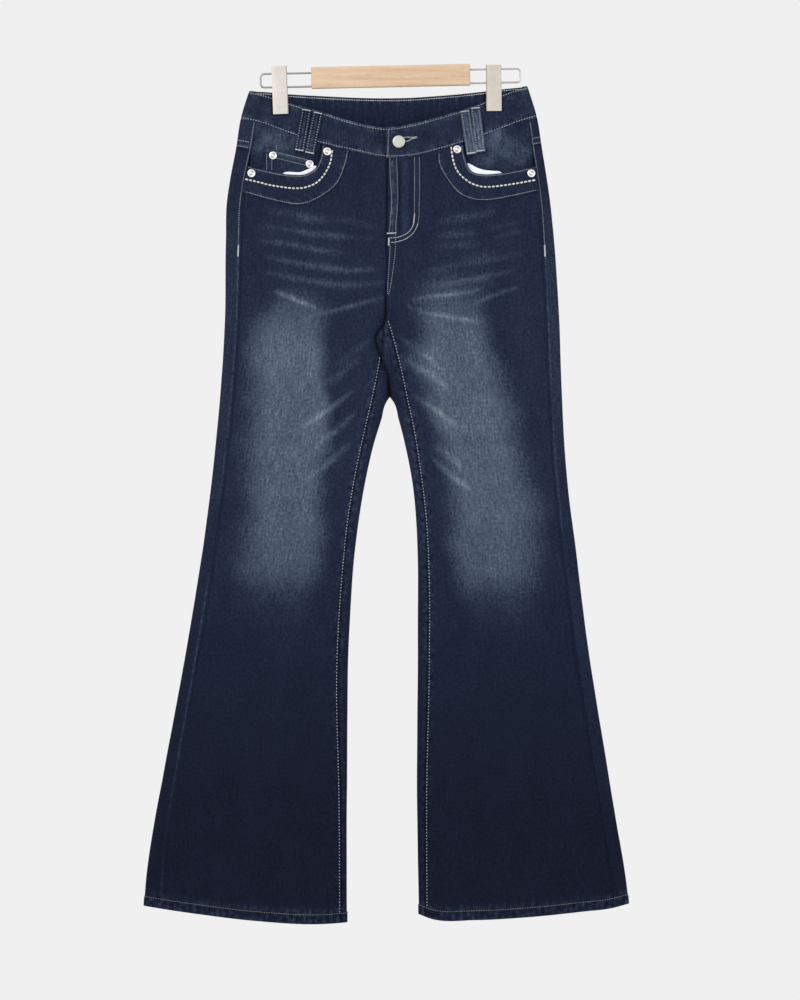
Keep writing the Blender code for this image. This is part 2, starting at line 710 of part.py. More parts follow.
# Belt loop strips: name, face, x and z of the middle of the top end, x and z of the lower end
LOOPS = [
    ("belt_loop_front_right_1", FRONT, -106.4, -54.8, -115.9, -109.6),
    ("belt_loop_front_right_2", FRONT, -91.7, -58.6, -103.0, -113.0),
    ("belt_loop_front_left_1", FRONT, 94.1, -56.4, 102.9, -113.4),
    ("belt_loop_front_left_2", FRONT, 107.6, -51.9, 114.4, -110.5),
    ("belt_loop_back_right_1", BACK, -111.0, -38.4, -111.0, -91.0),
    ("belt_loop_back_right_2", BACK, -97.5, -39.0, -97.5, -91.6),
    ("belt_loop_back_middle_1", BACK, -9.8, -42.0, -9.8, -95.0),
    ("belt_loop_back_middle_2", BACK, 3.7, -42.0, 3.7, -95.0),
    ("belt_loop_back_left_1", BACK, 90.5, -36.8, 90.5, -90.0),
    ("belt_loop_back_left_2", BACK, 104.0, -35.6, 104.0, -89.0),
]


def belt_loop(name, face, top_x, top_z, low_x, low_z, finish):
    """Folded strip over the waistband, tacked at both ends and arched a little between them."""
    along = np.linspace(0, 1, 6)[:, None]
    offset = np.linspace(-LOOP_WIDTH / 2, LOOP_WIDTH / 2, 3)
    middle = top_x + (low_x - top_x) * along
    x = middle + offset
    slope = (low_x - top_x) / (low_z - top_z)
    z = top_z + (low_z - top_z) * along - slope * offset
    side = np.where(x < read(CENTRE, "x", z), RIGHT, LEFT)
    lift = OVERLAY_GAP + LOOP_CLOTH + LOOP_ARCH * np.sin(np.pi * along) ** 2 + 0 * offset
    return wall(name, at(side, x, z, face), finish, LOOP_CLOTH, lift)


def back_pocket(side, finish):
    """Plain patch pocket on the seat, five-sided with a shallow point."""
    middle = side * 96.0 + read(CENTRE, "x", -200.0)
    share = np.linspace(-1, 1, 7)
    down = np.linspace(0, 1, 6)[:, None]
    half = 74.0 - 9.0 * down
    x = middle + half * share
    top = -172.0 - side * share * 4.0
    bottom = -322.0 - 17.0 * (1 - np.abs(share))
    z = top + (bottom - top) * down
    name = "back_pocket_left" if side == LEFT else "back_pocket_right"
    lift = OVERLAY_GAP + POCKET_CLOTH
    return wall(name, at(side, x, z, BACK), finish, POCKET_CLOTH, lift)


def ring_faces(rings, sides):
    """Faces of a closed tube of rings of points, with a flat face over each end."""
    number = np.arange(rings * sides).reshape(rings, sides)
    beside = np.roll(number, -1, axis=1)
    faces = np.stack([number[:-1], beside[:-1], beside[1:], number[1:]], axis=-1).reshape(-1, 4).tolist()
    return faces + [number[0][::-1].tolist(), number[-1].tolist()]


def turned(name, profile_points, centre, outward, finish, segments=16):
    """Solid turned about the outward direction: (distance out, radius) pairs from the back to the front."""
    outward = np.asarray(outward) / np.linalg.norm(outward)
    first = np.cross(outward, (0.0, 0.0, 1.0))
    first /= np.linalg.norm(first)
    second = np.cross(outward, first)
    angles = np.arange(segments) * 2 * math.pi / segments
    ring = np.cos(angles)[:, None] * first + np.sin(angles)[:, None] * second
    points = [np.asarray(centre) + outward * out + ring * radius for out, radius in profile_points]
    return add(name, np.concatenate(points), ring_faces(len(points), segments), finish, sharp_angle=35)


def spot(x, z, lift_of):
    """Point of the front above the skin by lift_of(x, z), and the outward direction of that surface."""
    x = x + np.array([0.0, -1.0, 1.0, 0.0, 0.0])
    z = z + np.array([0.0, 0.0, 0.0, -1.0, 1.0])
    side = np.where(x < read(CENTRE, "x", z), RIGHT, LEFT)
    points, outward = skin(*at(side, x, z))
    points = points + outward * lift_of(x, z)[:, None]
    direction = np.cross(points[2] - points[1], points[4] - points[3])
    return points[0], direction / np.linalg.norm(direction)


RIVET_RADIUS = 5.0
RIVET_SEAT = 0.3
BAND_TOP = OVERLAY_GAP + POCKET_CLOTH
# Rivets at the ends of the pocket bands and at the coin pocket's corners: name, x, z
RIVETS = [
    ("rivet_right_side", -176.0, -137.4),
    ("rivet_right_waist", -80.1, -109.6),
    ("rivet_coin_outer", -149.1, -114.6),
    ("rivet_coin_inner", -102.5, -125.5),
    ("rivet_left_waist", 84.7, -106.9),
    ("rivet_left_side", 178.2, -137.4),
]


def rivet(name, x, z, finish):
    """Pressed rivet, square to the cloth under it: a low dome with a sunk ring and a small pip."""

    def lift_of(x, z):
        return COIN_STEP - facing_inset(RIGHT, x, z) if "coin" in name else BAND_TOP + 0 * x

    centre, outward = spot(x, z, lift_of)
    r = RIVET_RADIUS
    shape = [(0, r * 0.88), (0.6, r), (1.2, r * 0.8), (0.9, r * 0.52), (1.5, r * 0.2)]
    return turned(name, shape, centre + outward * (SEAM_GAP + RIVET_SEAT), outward, finish, 10)


BUTTON_AT = (10.5, -97.3)
BUTTON_RADIUS = 8.4
SHANK_RADIUS = 1.6
BUTTONHOLE_WIDTH = 4.0
BUTTONHOLE_LENGTH = 22.0


def button(finish):
    """Shank button on the tab of the right waistband, pushed through the buttonhole of the left one."""
    centre, outward = spot(*BUTTON_AT, lambda x, z: 2 * SEAM_GAP + 0 * x)
    r = BUTTON_RADIUS
    shape = [(-BAND - 0.2, SHANK_RADIUS), (0, SHANK_RADIUS), (0.1, r * 0.8), (0.7, r)]
    shape += [(1.6, r), (2.2, r * 0.93), (2.5, r * 0.8), (2.6, r * 0.4)]
    return turned("button", shape, centre, outward, finish, 16)


def cut(piece, points, faces):
    """Cut a closed shape out of a piece."""
    cutter = add(piece.name + "_cutter", points, faces, piece.data.materials[0])
    cutter.hide_render = True
    cutter.display_type = "WIRE"
    modifier = piece.modifiers.new("cut", "BOOLEAN")
    modifier.operation = "DIFFERENCE"
    modifier.object = cutter
    return cutter


def prism(outline, first, second):
    """Closed prism of an outline of 3-D points, carried from one offset to another."""
    outline = np.asarray(outline, float)
    count = len(outline)
    points = np.concatenate([outline + np.asarray(first), outline + np.asarray(second)])
    faces = [tuple(range(count))[::-1], tuple(range(count, 2 * count))]
    faces += [(i, (i + 1) % count, count + (i + 1) % count, count + i) for i in range(count)]
    return points, faces


def face_out(piece):
    """Turn the faces of a piece outwards."""
    made = bmesh.new()
    made.from_mesh(piece.data)
    bmesh.ops.recalc_face_normals(made, faces=made.faces)
    made.to_mesh(piece.data)
    made.free()


def cut_buttonhole(band):
    """Slot with round ends through the left waistband, from the button's shank outwards."""
    x, z = BUTTON_AT
    angles = np.linspace(math.pi / 2, 3 * math.pi / 2, 7)
    radius = BUTTONHOLE_WIDTH / 2
    left = [(x - 0.6 + radius * math.cos(a), 0, z + radius * math.sin(a)) for a in angles]
    end_x = x - 0.6 + BUTTONHOLE_LENGTH - BUTTONHOLE_WIDTH
    right = [(end_x - radius * math.cos(a), 0, z + 1.6 - radius * math.sin(a)) for a in angles]
    points, faces = prism(left + right, (0, -30, 0), (0, -8, 0))
    face_out(cut(band, points, faces))


BAR_TILT = math.radians(1.2)
BAR = (202.0, 14.0, 27.2)
BAR_BEVEL = 1.5
WIRE_RADIUS = 1.25
WIRE_HEIGHTS = (-7.2, -24.4)
WIRE_END = {RIGHT: -165.3, LEFT: 164.4}
WIRE_BEND = 4.5
SOCKET_DEPTH = 16.0
CLIP_WIDTH = 19.6
CLIP_PLATE = 1.5
CLIP_ROOF = 2.2
JAW_PLAY = 0.4
FLARE_HEIGHT = 3.8
CLIP_BEVEL = 0.4
CLIPS = {
    RIGHT: {"x": -140.4, "top": -0.4, "bottom": -61.7, "tilt": math.radians(2.2)},
    LEFT: {"x": 131.2, "top": 1.1, "bottom": -57.8, "tilt": math.radians(0.3)},
}


def tilt(points, angle, centre=(0.0, 0.0)):
    """Points turned in the XZ plane, so that +X rises for a positive angle."""
    points = np.array(points, float)
    x, z = points[:, 0] - centre[0], points[:, 2] - centre[1]
    points[:, 0] = centre[0] + x * math.cos(angle) - z * math.sin(angle)
    points[:, 2] = centre[1] + x * math.sin(angle) + z * math.cos(angle)
    return points


def bevelled(piece, width):
    """Rounded edges for a piece."""
    modifier = piece.modifiers.new("edges", "BEVEL")
    modifier.width = width * MM
    modifier.segments = 2
    modifier.limit_method = "ANGLE"


def wood_bar(finish):
    """Wooden bar with a socket for each end of the wires."""
    length, depth, height = BAR
    outline = [(-length / 2, 0, 0), (length / 2, 0, 0), (length / 2, 0, -height), (-length / 2, 0, -height)]
    points, faces = prism(outline, (0, -depth / 2, 0), (0, depth / 2, 0))
    bar = add("wood_bar", tilt(points, BAR_TILT), faces, finish)
    face_out(bar)
    bevelled(bar, BAR_BEVEL)
    angles = np.arange(12) * math.pi / 6
    socket = WIRE_RADIUS + SEAM_GAP
    for side in (RIGHT, LEFT):
        for height in WIRE_HEIGHTS:
            ring = [(0, socket * math.cos(a), height + socket * math.sin(a)) for a in angles]
            start = side * (length / 2 - SOCKET_DEPTH)
            points, faces = prism(ring, (start, 0, 0), (side * (length / 2 + 5), 0, 0))
            face_out(cut(bar, tilt(points, BAR_TILT), faces))
    return bar


def wire(side, finish):
    """Bent wire: out of the bar, round two corners at the end and back into the bar."""
    start = side * (BAR[0] / 2 - SOCKET_DEPTH + 1)
    end = WIRE_END[side]
    high, low = WIRE_HEIGHTS
    corner = end - side * WIRE_BEND
    turn = np.linspace(0, math.pi / 2, 5)
    bend = [(side * WIRE_BEND * math.sin(a), WIRE_BEND * (1 - math.cos(a))) for a in turn]
    upper = [(corner + out, 0, high - down) for out, down in bend]
    lower = [(corner + out, 0, low + down) for out, down in bend[::-1]]
    path = tilt([(start, 0, high), *upper, *lower, (start, 0, low)], BAR_TILT)
    ahead = np.gradient(path, axis=0)
    ahead /= np.linalg.norm(ahead, axis=1, keepdims=True)
    sideways = np.array([0.0, 1.0, 0.0])
    angles = np.arange(10) * 2 * math.pi / 10
    rings = [
        point + WIRE_RADIUS * (math.cos(a) * sideways + math.sin(a) * np.cross(direction, sideways))
        for point, direction in zip(path, ahead)
        for a in angles
    ]
    faces = ring_faces(len(path), len(angles))
    made = add("wire_left" if side == LEFT else "wire_right", rings, faces, finish)
    face_out(made)
    return made


def clip(side, finish):
    """Folded metal clip that hangs over the wires and pinches the front and back waistband together."""
    size = CLIPS[side]
    top, bottom = size["top"], size["bottom"]
    neck, jaw = WIRE_RADIUS + SEAM_GAP, MOUTH["front"].min() + SEAM_GAP
    lower_wire = WIRE_HEIGHTS[1] + size["x"] * math.tan(BAR_TILT)
    flare_top = lower_wire - WIRE_RADIUS - 2 * JAW_PLAY
    flare_end = flare_top - FLARE_HEIGHT
    outer = [(neck + CLIP_PLATE, top), (neck + CLIP_PLATE, flare_top), (jaw + CLIP_PLATE, flare_end)]
    outer += [(jaw + CLIP_PLATE, bottom), (jaw, bottom), (jaw, flare_end), (neck, flare_top)]
    outer.append((neck, top - CLIP_ROOF))
    outline = [(0, -y, z) for y, z in outer] + [(0, y, z) for y, z in outer[::-1]]
    centre = (size["x"], (top + bottom) / 2)
    points, faces = prism(outline, (centre[0] - CLIP_WIDTH / 2, 0, 0), (centre[0] + CLIP_WIDTH / 2, 0, 0))
    points = tilt(points, size["tilt"], centre)
    made = add("clip_left" if side == LEFT else "clip_right", points, faces, finish, sharp_angle=30)
    face_out(made)
    bevelled(made, CLIP_BEVEL)
    return made


def main():
    for old in list(bpy.data.objects):
        bpy.data.objects.remove(old, do_unlink=True)
    denim = material("washed dark denim", (0.020, 0.026, 0.062), 0.85)
    bag = material("white pocket cotton", (0.82, 0.83, 0.86), 0.9)
    metal = material("brushed nickel", (0.66, 0.64, 0.60), 0.35, 1.0)
    wood = material("beech", (0.72, 0.50, 0.32), 0.5)
    for side in (RIGHT, LEFT):
        front_leg(side, denim)
        back_leg(side, denim)
        yoke(side, denim)
        pocket_facing(side, denim)
        pocket_band(side, denim)
        pocket_bag(side, bag)
        back_pocket(side, denim)
        wire(side, metal)
        clip(side, metal)
    front_band(RIGHT, denim)
    cut_buttonhole(front_band(LEFT, denim))
    back_band(denim)
    coin_pocket(denim)
    fly_shield(denim)
    for name, face, top_x, top_z, low_x, low_z in LOOPS:
        belt_loop(name, face, top_x, top_z, low_x, low_z, denim)
    for name, x, z in RIVETS:
        rivet(name, x, z, metal)
    button(metal)
    wood_bar(wood)


main()
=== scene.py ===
import math

import bpy
import numpy as np
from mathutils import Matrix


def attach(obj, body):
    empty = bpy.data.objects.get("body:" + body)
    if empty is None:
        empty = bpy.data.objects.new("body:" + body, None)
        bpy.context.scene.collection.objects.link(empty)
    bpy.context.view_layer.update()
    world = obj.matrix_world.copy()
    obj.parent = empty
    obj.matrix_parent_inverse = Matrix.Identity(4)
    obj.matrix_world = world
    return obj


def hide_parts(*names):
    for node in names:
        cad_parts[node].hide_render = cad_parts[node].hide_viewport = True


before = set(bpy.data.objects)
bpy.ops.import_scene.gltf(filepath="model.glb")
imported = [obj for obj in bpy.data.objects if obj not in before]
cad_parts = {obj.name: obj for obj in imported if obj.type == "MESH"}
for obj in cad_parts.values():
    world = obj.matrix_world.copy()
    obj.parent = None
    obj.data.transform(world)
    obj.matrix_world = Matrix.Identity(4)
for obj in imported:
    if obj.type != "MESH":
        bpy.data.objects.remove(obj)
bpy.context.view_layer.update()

# Bootcut jeans on a clip hanger. Sizes are millimetres unless a name says otherwise, and meshes are metres.
# +Z is up, the front faces -Y and +X is the wearer's left; the origin is the middle of the bar's top edge.

# ------------------------------------------------------------------------------------------------------
# Back panels: washed dark twill, cut in one piece from the side seam on the front, round the outer edge
# and the back. Below the fork each goes on round the inner edge to the inseam. The hem is folded twice.
# ------------------------------------------------------------------------------------------------------
MM = 0.001
RIGHT, LEFT = -1, 1
FRONT, BACK = -1, 1
DENIM = 1.5
SEAM_GAP = 0.1
HEM_DEPTH = 12.0
HEM_THICK = 3.0
FORK = -420.8
CROTCH = -322.0
VALLEY_LENGTH = 170.0
OUTER_ROUNDING = 8
INNER_ROUNDING = 5
EDGE_LEVEL = 0.3
FORK_WRAP = 1.2
HEM_REFERENCE = -1080.0
HEM_START = -985.0
WAIST_REFERENCE = -60.0
YOKE_SIDE = {RIGHT: -99.4, LEFT: -95.6}
YOKE_CENTRE = -146.0


def table(columns, rows):
    """Named columns of a table, with its rows sorted by the first column."""
    return dict(zip(columns.split(), np.array(sorted(rows), float).T))


# Outer edges of the hanging jeans, the inset of each side seam from them, and half the tube's depth
EDGES = table("z right_outer left_outer right_inset left_inset half_depth", [
    (-26, -177.5, 174.0, 20.0, 12.0, 8.0),
    (-66, -189.9, 186.1, 20.0, 12.0, 10.0),
    (-105, -196.2, 192.4, 19.7, 12.5, 12.0),
    (-145, -203.8, 198.8, 19.0, 12.6, 14.0),
    (-171, -207.6, 202.6, 18.7, 13.0, 15.0),
    (-221, -208.9, 207.6, 17.8, 14.2, 15.5),
    (-323, -210.2, 214.0, 15.9, 14.6, 14.5),
    (-421, -216.5, 217.8, 15.6, 14.6, 13.5),
    (-526, -226.7, 224.2, 14.6, 14.0, 12.0),
    (-628, -240.7, 236.9, 14.6, 15.6, 11.0),
    (-729, -257.2, 249.6, 14.8, 16.0, 10.5),
    (-882, -285.1, 273.7, 16.4, 17.0, 11.0),
    (-958, -299.1, 286.4, 18.0, 17.4, 11.5),
    (-1034, -310.5, 299.1, 22.0, 18.0, 12.0),
    (-1090, -314.0, 305.0, 24.0, 18.6, 12.5),
])
# Centre line of the rise, from the waist to the fork
CENTRE = table("z x", [(-20, -3.0), (-117, -3.4), (-322, -5.4), (-380, -3.2), (FORK, -0.9)])
# Inner edges of the legs below the fork
INNER = table("z right left", [
    (FORK, -1.1, -0.7),
    (-426, -4.8, 3.4),
    (-450, -12.1, 10.8),
    (-475, -19.7, 17.1),
    (-526, -31.1, 27.3),
    (-577, -40.0, 32.4),
    (-628, -46.4, 34.7),
    (-679, -50.2, 35.0),
    (-729, -52.7, 34.9),
    (-882, -55.2, 33.7),
    (-1090, -55.4, 36.2),
])
# Inseams, which lie on the front just inside the inner edges
INSEAM = table("z right left", [
    (CROTCH, -7.6, -5.0),
    (-342, -9.6, 1.2),
    (-371, -12.3, 9.0),
    (-425, -22.8, 20.8),
    (-463, -31.6, 29.0),
    (-503, -40.5, 35.4),
    (-576, -53.0, 44.4),
    (-640, -59.6, 47.6),
    (-758, -66.8, 48.0),
    (-930, -64.1, 44.6),
    (-1090, -63.2, 45.2),
])
# Half the depth of the mouth: pinched flat at the two clips, open between them
MOUTH = table("x front back", [
    (-192, 9.0, 9.0),
    (-172, 8.0, 8.0),
    (-156, 2.6, 2.6),
    (-125, 2.6, 2.6),
    (-95, 8.0, 6.5),
    (-3, 17.0, 9.0),
    (84, 8.0, 6.5),
    (117, 2.6, 2.6),
    (146, 2.6, 2.6),
    (162, 8.0, 8.0),
    (190, 9.0, 9.0),
])
MOUTH_FADE = (-140.0, -66.0)
# Lower edge of the hems across both legs
HEM = table("x z", [
    (-314, -1066.5),
    (-242, -1077.0),
    (-175, -1085.0),
    (-87, -1089.5),
    (-55, -1087.6),
    (36, -1077.3),
    (50, -1082.4),
    (109, -1084.3),
    (167, -1081.2),
    (210, -1077.3),
    (245, -1073.5),
    (279, -1069.7),
    (305, -1063.4),
])
# Largest soft folds: face, from (x, z) to (x, z), half width and height, a trough where it is negative
FOLDS = table("face x1 z1 x2 z2 width height", [
    (FRONT, -150, -225, -20, -262, 15, 1.6),
    (FRONT, 30, -262, 150, -232, 15, 1.5),
    (FRONT, -20, -352, -92, -400, 16, 1.8),
    (FRONT, -50, -420, -110, -470, 16, 1.5),
    (FRONT, 34, -352, 76, -392, 16, 1.6),
    (FRONT, 52, -430, 104, -470, 16, 1.5),
    (FRONT, -215, -600, -120, -660, 26, -1.6),
    (FRONT, 120, -640, 215, -600, 26, -1.6),
    (FRONT, -120, -760, -190, -1060, 30, 2.0),
    (FRONT, 150, -740, 200, -1060, 30, 2.0),
    (BACK, -160, -375, -40, -415, 18, -2.2),
    (BACK, 38, -415, 160, -375, 18, -2.2),
    (BACK, -170, -440, -70, -470, 20, -1.8),
    (BACK, 60, -470, 170, -440, 20, -1.8),
    (BACK, -200, -655, -100, -690, 24, -1.8),
    (BACK, 80, -690, 190, -655, 24, -1.8),
])
# Whiskers, worn lines where the cloth creases: face, width, the light that the wear adds, and (x, z) points
WHISKERS = [
    (FRONT, 3.9, 0.030, [(-163, -182), (-147, -186), (-125, -187)]),
    (FRONT, 5.3, 0.085, [(-128, -188), (-105, -195), (-83, -197)]),
    (FRONT, 3.6, 0.035, [(-87, -196), (-51, -197), (-13, -209)]),
    (FRONT, 4.1, 0.030, [(-168, -205), (-147, -206), (-125, -209)]),
    (FRONT, 3.9, 0.090, [(-130, -209), (-102, -214), (-77, -216), (-49, -219)]),
    (FRONT, 3.1, 0.030, [(-51, -218), (-21, -221)]),
    (FRONT, 3.4, 0.075, [(-166, -224), (-140, -225), (-115, -230), (-90, -235), (-58, -239)]),
    (FRONT, 3.6, 0.090, [(-159, -243), (-138, -247), (-115, -252), (-83, -257), (-51, -261), (-13, -259)]),
    (FRONT, 3.9, 0.085, [(-158, -263), (-134, -268), (-115, -272), (-90, -276), (-64, -279), (-39, -279),
                         (-11, -276)]),
    (FRONT, 3.1, 0.170, [(-148, -287), (-128, -294), (-115, -300), (-90, -310)]),
    (FRONT, 2.7, 0.100, [(-101, -318), (-83, -314), (-64, -310), (-51, -306), (-32, -301), (-10, -295)]),
    (FRONT, 4.8, 0.055, [(58, -200), (76, -196), (107, -191), (135, -186)]),
    (FRONT, 3.9, 0.060, [(60, -216), (82, -215), (110, -212)]),
    (FRONT, 3.4, 0.035, [(119, -209), (139, -205), (162, -199)]),
    (FRONT, 3.9, 0.035, [(58, -232), (82, -229), (111, -226)]),
    (FRONT, 2.9, 0.035, [(130, -219), (152, -214), (170, -210)]),
    (FRONT, 2.9, 0.030, [(91, -244), (114, -242), (139, -234)]),
    (FRONT, 4.1, 0.050, [(43, -262), (63, -258), (88, -253), (114, -249), (139, -245), (167, -237)]),
    (FRONT, 3.4, 0.075, [(43, -279), (63, -279), (82, -276), (107, -271), (133, -266), (156, -261)]),
    (FRONT, 2.8, 0.130, [(27, -298), (50, -294), (76, -291), (95, -289), (114, -285)]),
    (FRONT, 2.8, 0.100, [(104, -304), (120, -296), (139, -289), (162, -282)]),
    (FRONT, 2.2, 0.050, [(17, -299), (27, -308), (43, -313)]),
    (FRONT, 3.1, 0.110, [(37, -313), (50, -315), (76, -320), (95, -323), (117, -327)]),
    (FRONT, 3.6, 0.045, [(-23, -346), (-39, -359), (-53, -369), (-70, -383)]),
    (FRONT, 4.6, 0.060, [(-35, -370), (-51, -381), (-68, -397), (-95, -408)]),
    (FRONT, 3.1, 0.135, [(-48, -414), (-58, -422), (-73, -433), (-90, -445), (-110, -458)]),
    (FRONT, 3.6, 0.110, [(-46, -441), (-57, -453), (-67, -463), (-79, -470), (-95, -484)]),
    (FRONT, 3.9, 0.110, [(-53, -479), (-64, -492), (-77, -503), (-88, -512), (-101, -524)]),
    (FRONT, 3.6, 0.060, [(13, -347), (31, -357)]),
    (FRONT, 3.1, 0.090, [(36, -364), (48, -371), (63, -385)]),
    (FRONT, 3.9, 0.085, [(17, -372), (31, -381), (44, -389), (55, -395), (74, -412)]),
    (FRONT, 3.3, 0.110, [(30, -419), (46, -430), (59, -439), (72, -449), (88, -460)]),
    (FRONT, 3.9, 0.080, [(53, -482), (69, -491), (82, -501), (95, -516)]),
    (FRONT, 3.6, 0.130, [(54, -499), (67, -512), (78, -522), (88, -529), (104, -539)]),
    (BACK, 6.0, 0.070, [(-170, -372), (-110, -384), (-60, -398)]),
    (BACK, 6.0, 0.060, [(-160, -402), (-100, -412), (-44, -428)]),
    (BACK, 6.0, 0.070, [(56, -396), (110, -386), (168, -370)]),
    (BACK, 6.0, 0.060, [(40, -426), (100, -414), (156, -400)]),
    (BACK, 6.5, 0.060, [(-196, -630), (-150, -644), (-110, -650)]),
    (BACK, 6.0, 0.050, [(-204, -668), (-160, -664), (-120, -655)]),
    (BACK, 6.5, 0.050, [(-188, -700), (-140, -698), (-100, -688)]),
    (BACK, 6.5, 0.060, [(100, -650), (140, -644), (188, -630)]),
    (BACK, 6.0, 0.050, [(112, -658), (150, -662), (200, -673)]),
    (BACK, 6.5, 0.050, [(92, -690), (140, -698), (186, -704)]),
]
# Faded stretch of each thigh: across it the wear sets in, is full, and ends, with its strength
THIGHS = {
    (RIGHT, FRONT): table("z outer outer_full inner_full inner strength", [
        (-280, -165, -139, -115, -70, 0.0),
        (-310, -177, -139, -115, -70, 0.6),
        (-336, -189, -145, -104, -72, 0.95),
        (-412, -202, -150, -93, -71, 1.0),
        (-488, -202, -145, -95, -69, 1.0),
        (-564, -205, -155, -108, -70, 0.93),
        (-602, -207, -159, -110, -71, 0.88),
        (-640, -210, -160, -112, -75, 0.72),
        (-676, -207, -152, -115, -80, 0.22),
        (-712, -203, -150, -118, -80, 0.05),
        (-770, -200, -150, -118, -80, 0.0),
    ]),
    (LEFT, FRONT): table("z inner inner_full outer_full outer strength", [
        (-258, 18, 63, 101, 139, 0.0),
        (-285, 18, 61, 101, 139, 0.38),
        (-310, 18, 59, 101, 135, 0.72),
        (-336, 24, 63, 103, 140, 0.95),
        (-374, 8, 50, 103, 151, 1.0),
        (-412, 30, 68, 116, 166, 1.0),
        (-450, 42, 70, 135, 179, 1.02),
        (-488, 48, 88, 139, 187, 1.0),
        (-526, 54, 84, 145, 198, 0.97),
        (-564, 59, 104, 154, 205, 0.96),
        (-602, 64, 101, 158, 208, 0.88),
        (-640, 66, 104, 161, 211, 0.84),
        (-678, 75, 110, 160, 206, 0.26),
        (-716, 78, 112, 158, 203, 0.05),
        (-770, 80, 112, 158, 200, 0.0),
    ]),
    (RIGHT, BACK): table("z outer outer_full inner_full inner strength", [
        (-150, -170, -120, -80, -30, 0.0),
        (-230, -185, -130, -80, -30, 0.42),
        (-330, -188, -130, -90, -40, 0.46),
        (-440, -196, -140, -95, -55, 0.55),
        (-600, -205, -155, -108, -68, 0.5),
        (-700, -210, -160, -115, -78, 0.0),
    ]),
    (LEFT, BACK): table("z inner inner_full outer_full outer strength", [
        (-150, 30, 80, 120, 165, 0.0),
        (-230, 30, 80, 130, 182, 0.42),
        (-330, 38, 88, 132, 190, 0.46),
        (-440, 52, 92, 140, 196, 0.55),
        (-600, 64, 104, 156, 206, 0.5),
        (-700, 76, 112, 160, 208, 0.0),
    ]),
}
# Lightness of the unworn cloth down the legs, as a screen shows it, from 0 to 1
UNWORN = table("z light", [
    (-60, 0.178), (-150, 0.170), (-200, 0.173), (-260, 0.178), (-600, 0.176), (-660, 0.168),
    (-730, 0.155), (-790, 0.146), (-860, 0.136), (-930, 0.127), (-1010, 0.123), (-1090, 0.126),
])
WORN_LIGHT = 0.370
# Light of each side seam's turned edge down the legs, and the painted shade of the line beside it
TURNED = table("z right left dark", [
    (-60, 0.050, 0.050, 0.048),
    (-230, 0.055, 0.045, 0.048),
    (-290, 0.072, 0.060, 0.048),
    (-325, 0.048, 0.060, 0.045),
    (-390, 0.042, 0.058, 0.048),
    (-420, 0.036, 0.025, 0.048),
    (-470, 0.028, 0.035, 0.042),
    (-515, 0.024, 0.056, 0.040),
    (-600, 0.010, 0.028, 0.036),
    (-640, 0.024, 0.014, 0.032),
    (-675, 0.056, 0.010, 0.030),
    (-760, 0.060, 0.008, 0.030),
    (-890, 0.060, 0.002, 0.010),
    (-930, 0.054, 0.000, 0.006),
    (-990, 0.018, 0.000, 0.012),
    (-1022, 0.048, 0.000, 0.012),
    (-1090, 0.040, 0.000, 0.010),
])


def through(at, xs, ys):
    """Height at each place of the smooth cubic curve through a table's points, level past its ends."""
    slopes = np.gradient(ys, xs)
    first = np.clip(np.searchsorted(xs, at) - 1, 0, len(xs) - 2)
    step = xs[first + 1] - xs[first]
    t = np.clip((at - xs[first]) / step, 0.0, 1.0)
    start = (1 + 2 * t) * (1 - t) ** 2 * ys[first] + t * t * (3 - 2 * t) * ys[first + 1]
    return start + step * (t * (1 - t) ** 2 * slopes[first] - t * t * (1 - t) * slopes[first + 1])


def read(rows, column, at):
    """Value of a table's column at each place along its first column."""
    return through(np.asarray(at, float), next(iter(rows.values())), rows[column])


def by_side(side, rows, at, ending=""):
    """Value of a table's right or left column at each place, by the side that it is on."""
    return np.where(side < 0, read(rows, "right" + ending, at), read(rows, "left" + ending, at))


def smooth(value, low, high):
    """0 up to low and 1 from high, with an S-shaped step 3t^2 - 2t^3 between them."""
    t = np.clip((value - low) / (high - low), 0.0, 1.0)
    return t * t * (3 - 2 * t)


def between(at, low, low_full, high_full, high):
    """1 from low_full to high_full and 0 outside low and high, with an S-shaped step at each end."""
    return smooth(at, low, low_full) * (1 - smooth(at, high_full, high))


def bell(distance, width):
    """1 at no distance, falling away on both sides as exp(-(d / w)^2)."""
    return np.exp(-((distance / width) ** 2))


def level_steps(at, rows, column):
    """Value of a table's column, with S-shaped steps between its rows: level stretches stay level."""
    xs, ys = rows["x"], rows[column]
    value = np.full(np.shape(at), ys[0])
    for i in range(len(xs) - 1):
        value = value + (ys[i + 1] - ys[i]) * smooth(at, xs[i], xs[i + 1])
    return value


def outer_edge(side, z):
    """x of a leg's outer edge."""
    return by_side(side, EDGES, z, "_outer")


def inner_edge(side, z):
    """x of a leg's inner edge, which is the centre line above the fork."""
    return np.where(z >= FORK, read(CENTRE, "x", z), by_side(side, INNER, z))


def side_seam(side, z):
    """x of the side seam, on the front."""
    return outer_edge(side, z) - side * by_side(side, EDGES, z, "_inset")


def inseam(side, z):
    """x of the inseam, on the front."""
    return by_side(side, INSEAM, z)


def half_width(side, z):
    """Half of a leg's width."""
    return np.abs(outer_edge(side, z) - inner_edge(side, z)) / 2


def place(side, u, z):
    """x of the points at u across a leg, u from 1 at its outer edge to -1 at its inner edge."""
    return (outer_edge(side, z) + inner_edge(side, z)) / 2 + side * half_width(side, z) * u


def across(side, x, z):
    """u of the points at x across a leg."""
    return side * (x - (outer_edge(side, z) + inner_edge(side, z)) / 2) / half_width(side, z)


def valley(z):
    """How far the centre line sinks in: 0 at the hips, 1 at the fork and below it."""
    return 1 - np.sqrt(np.clip((z - FORK) / VALLEY_LENGTH, 0.0, 1.0))


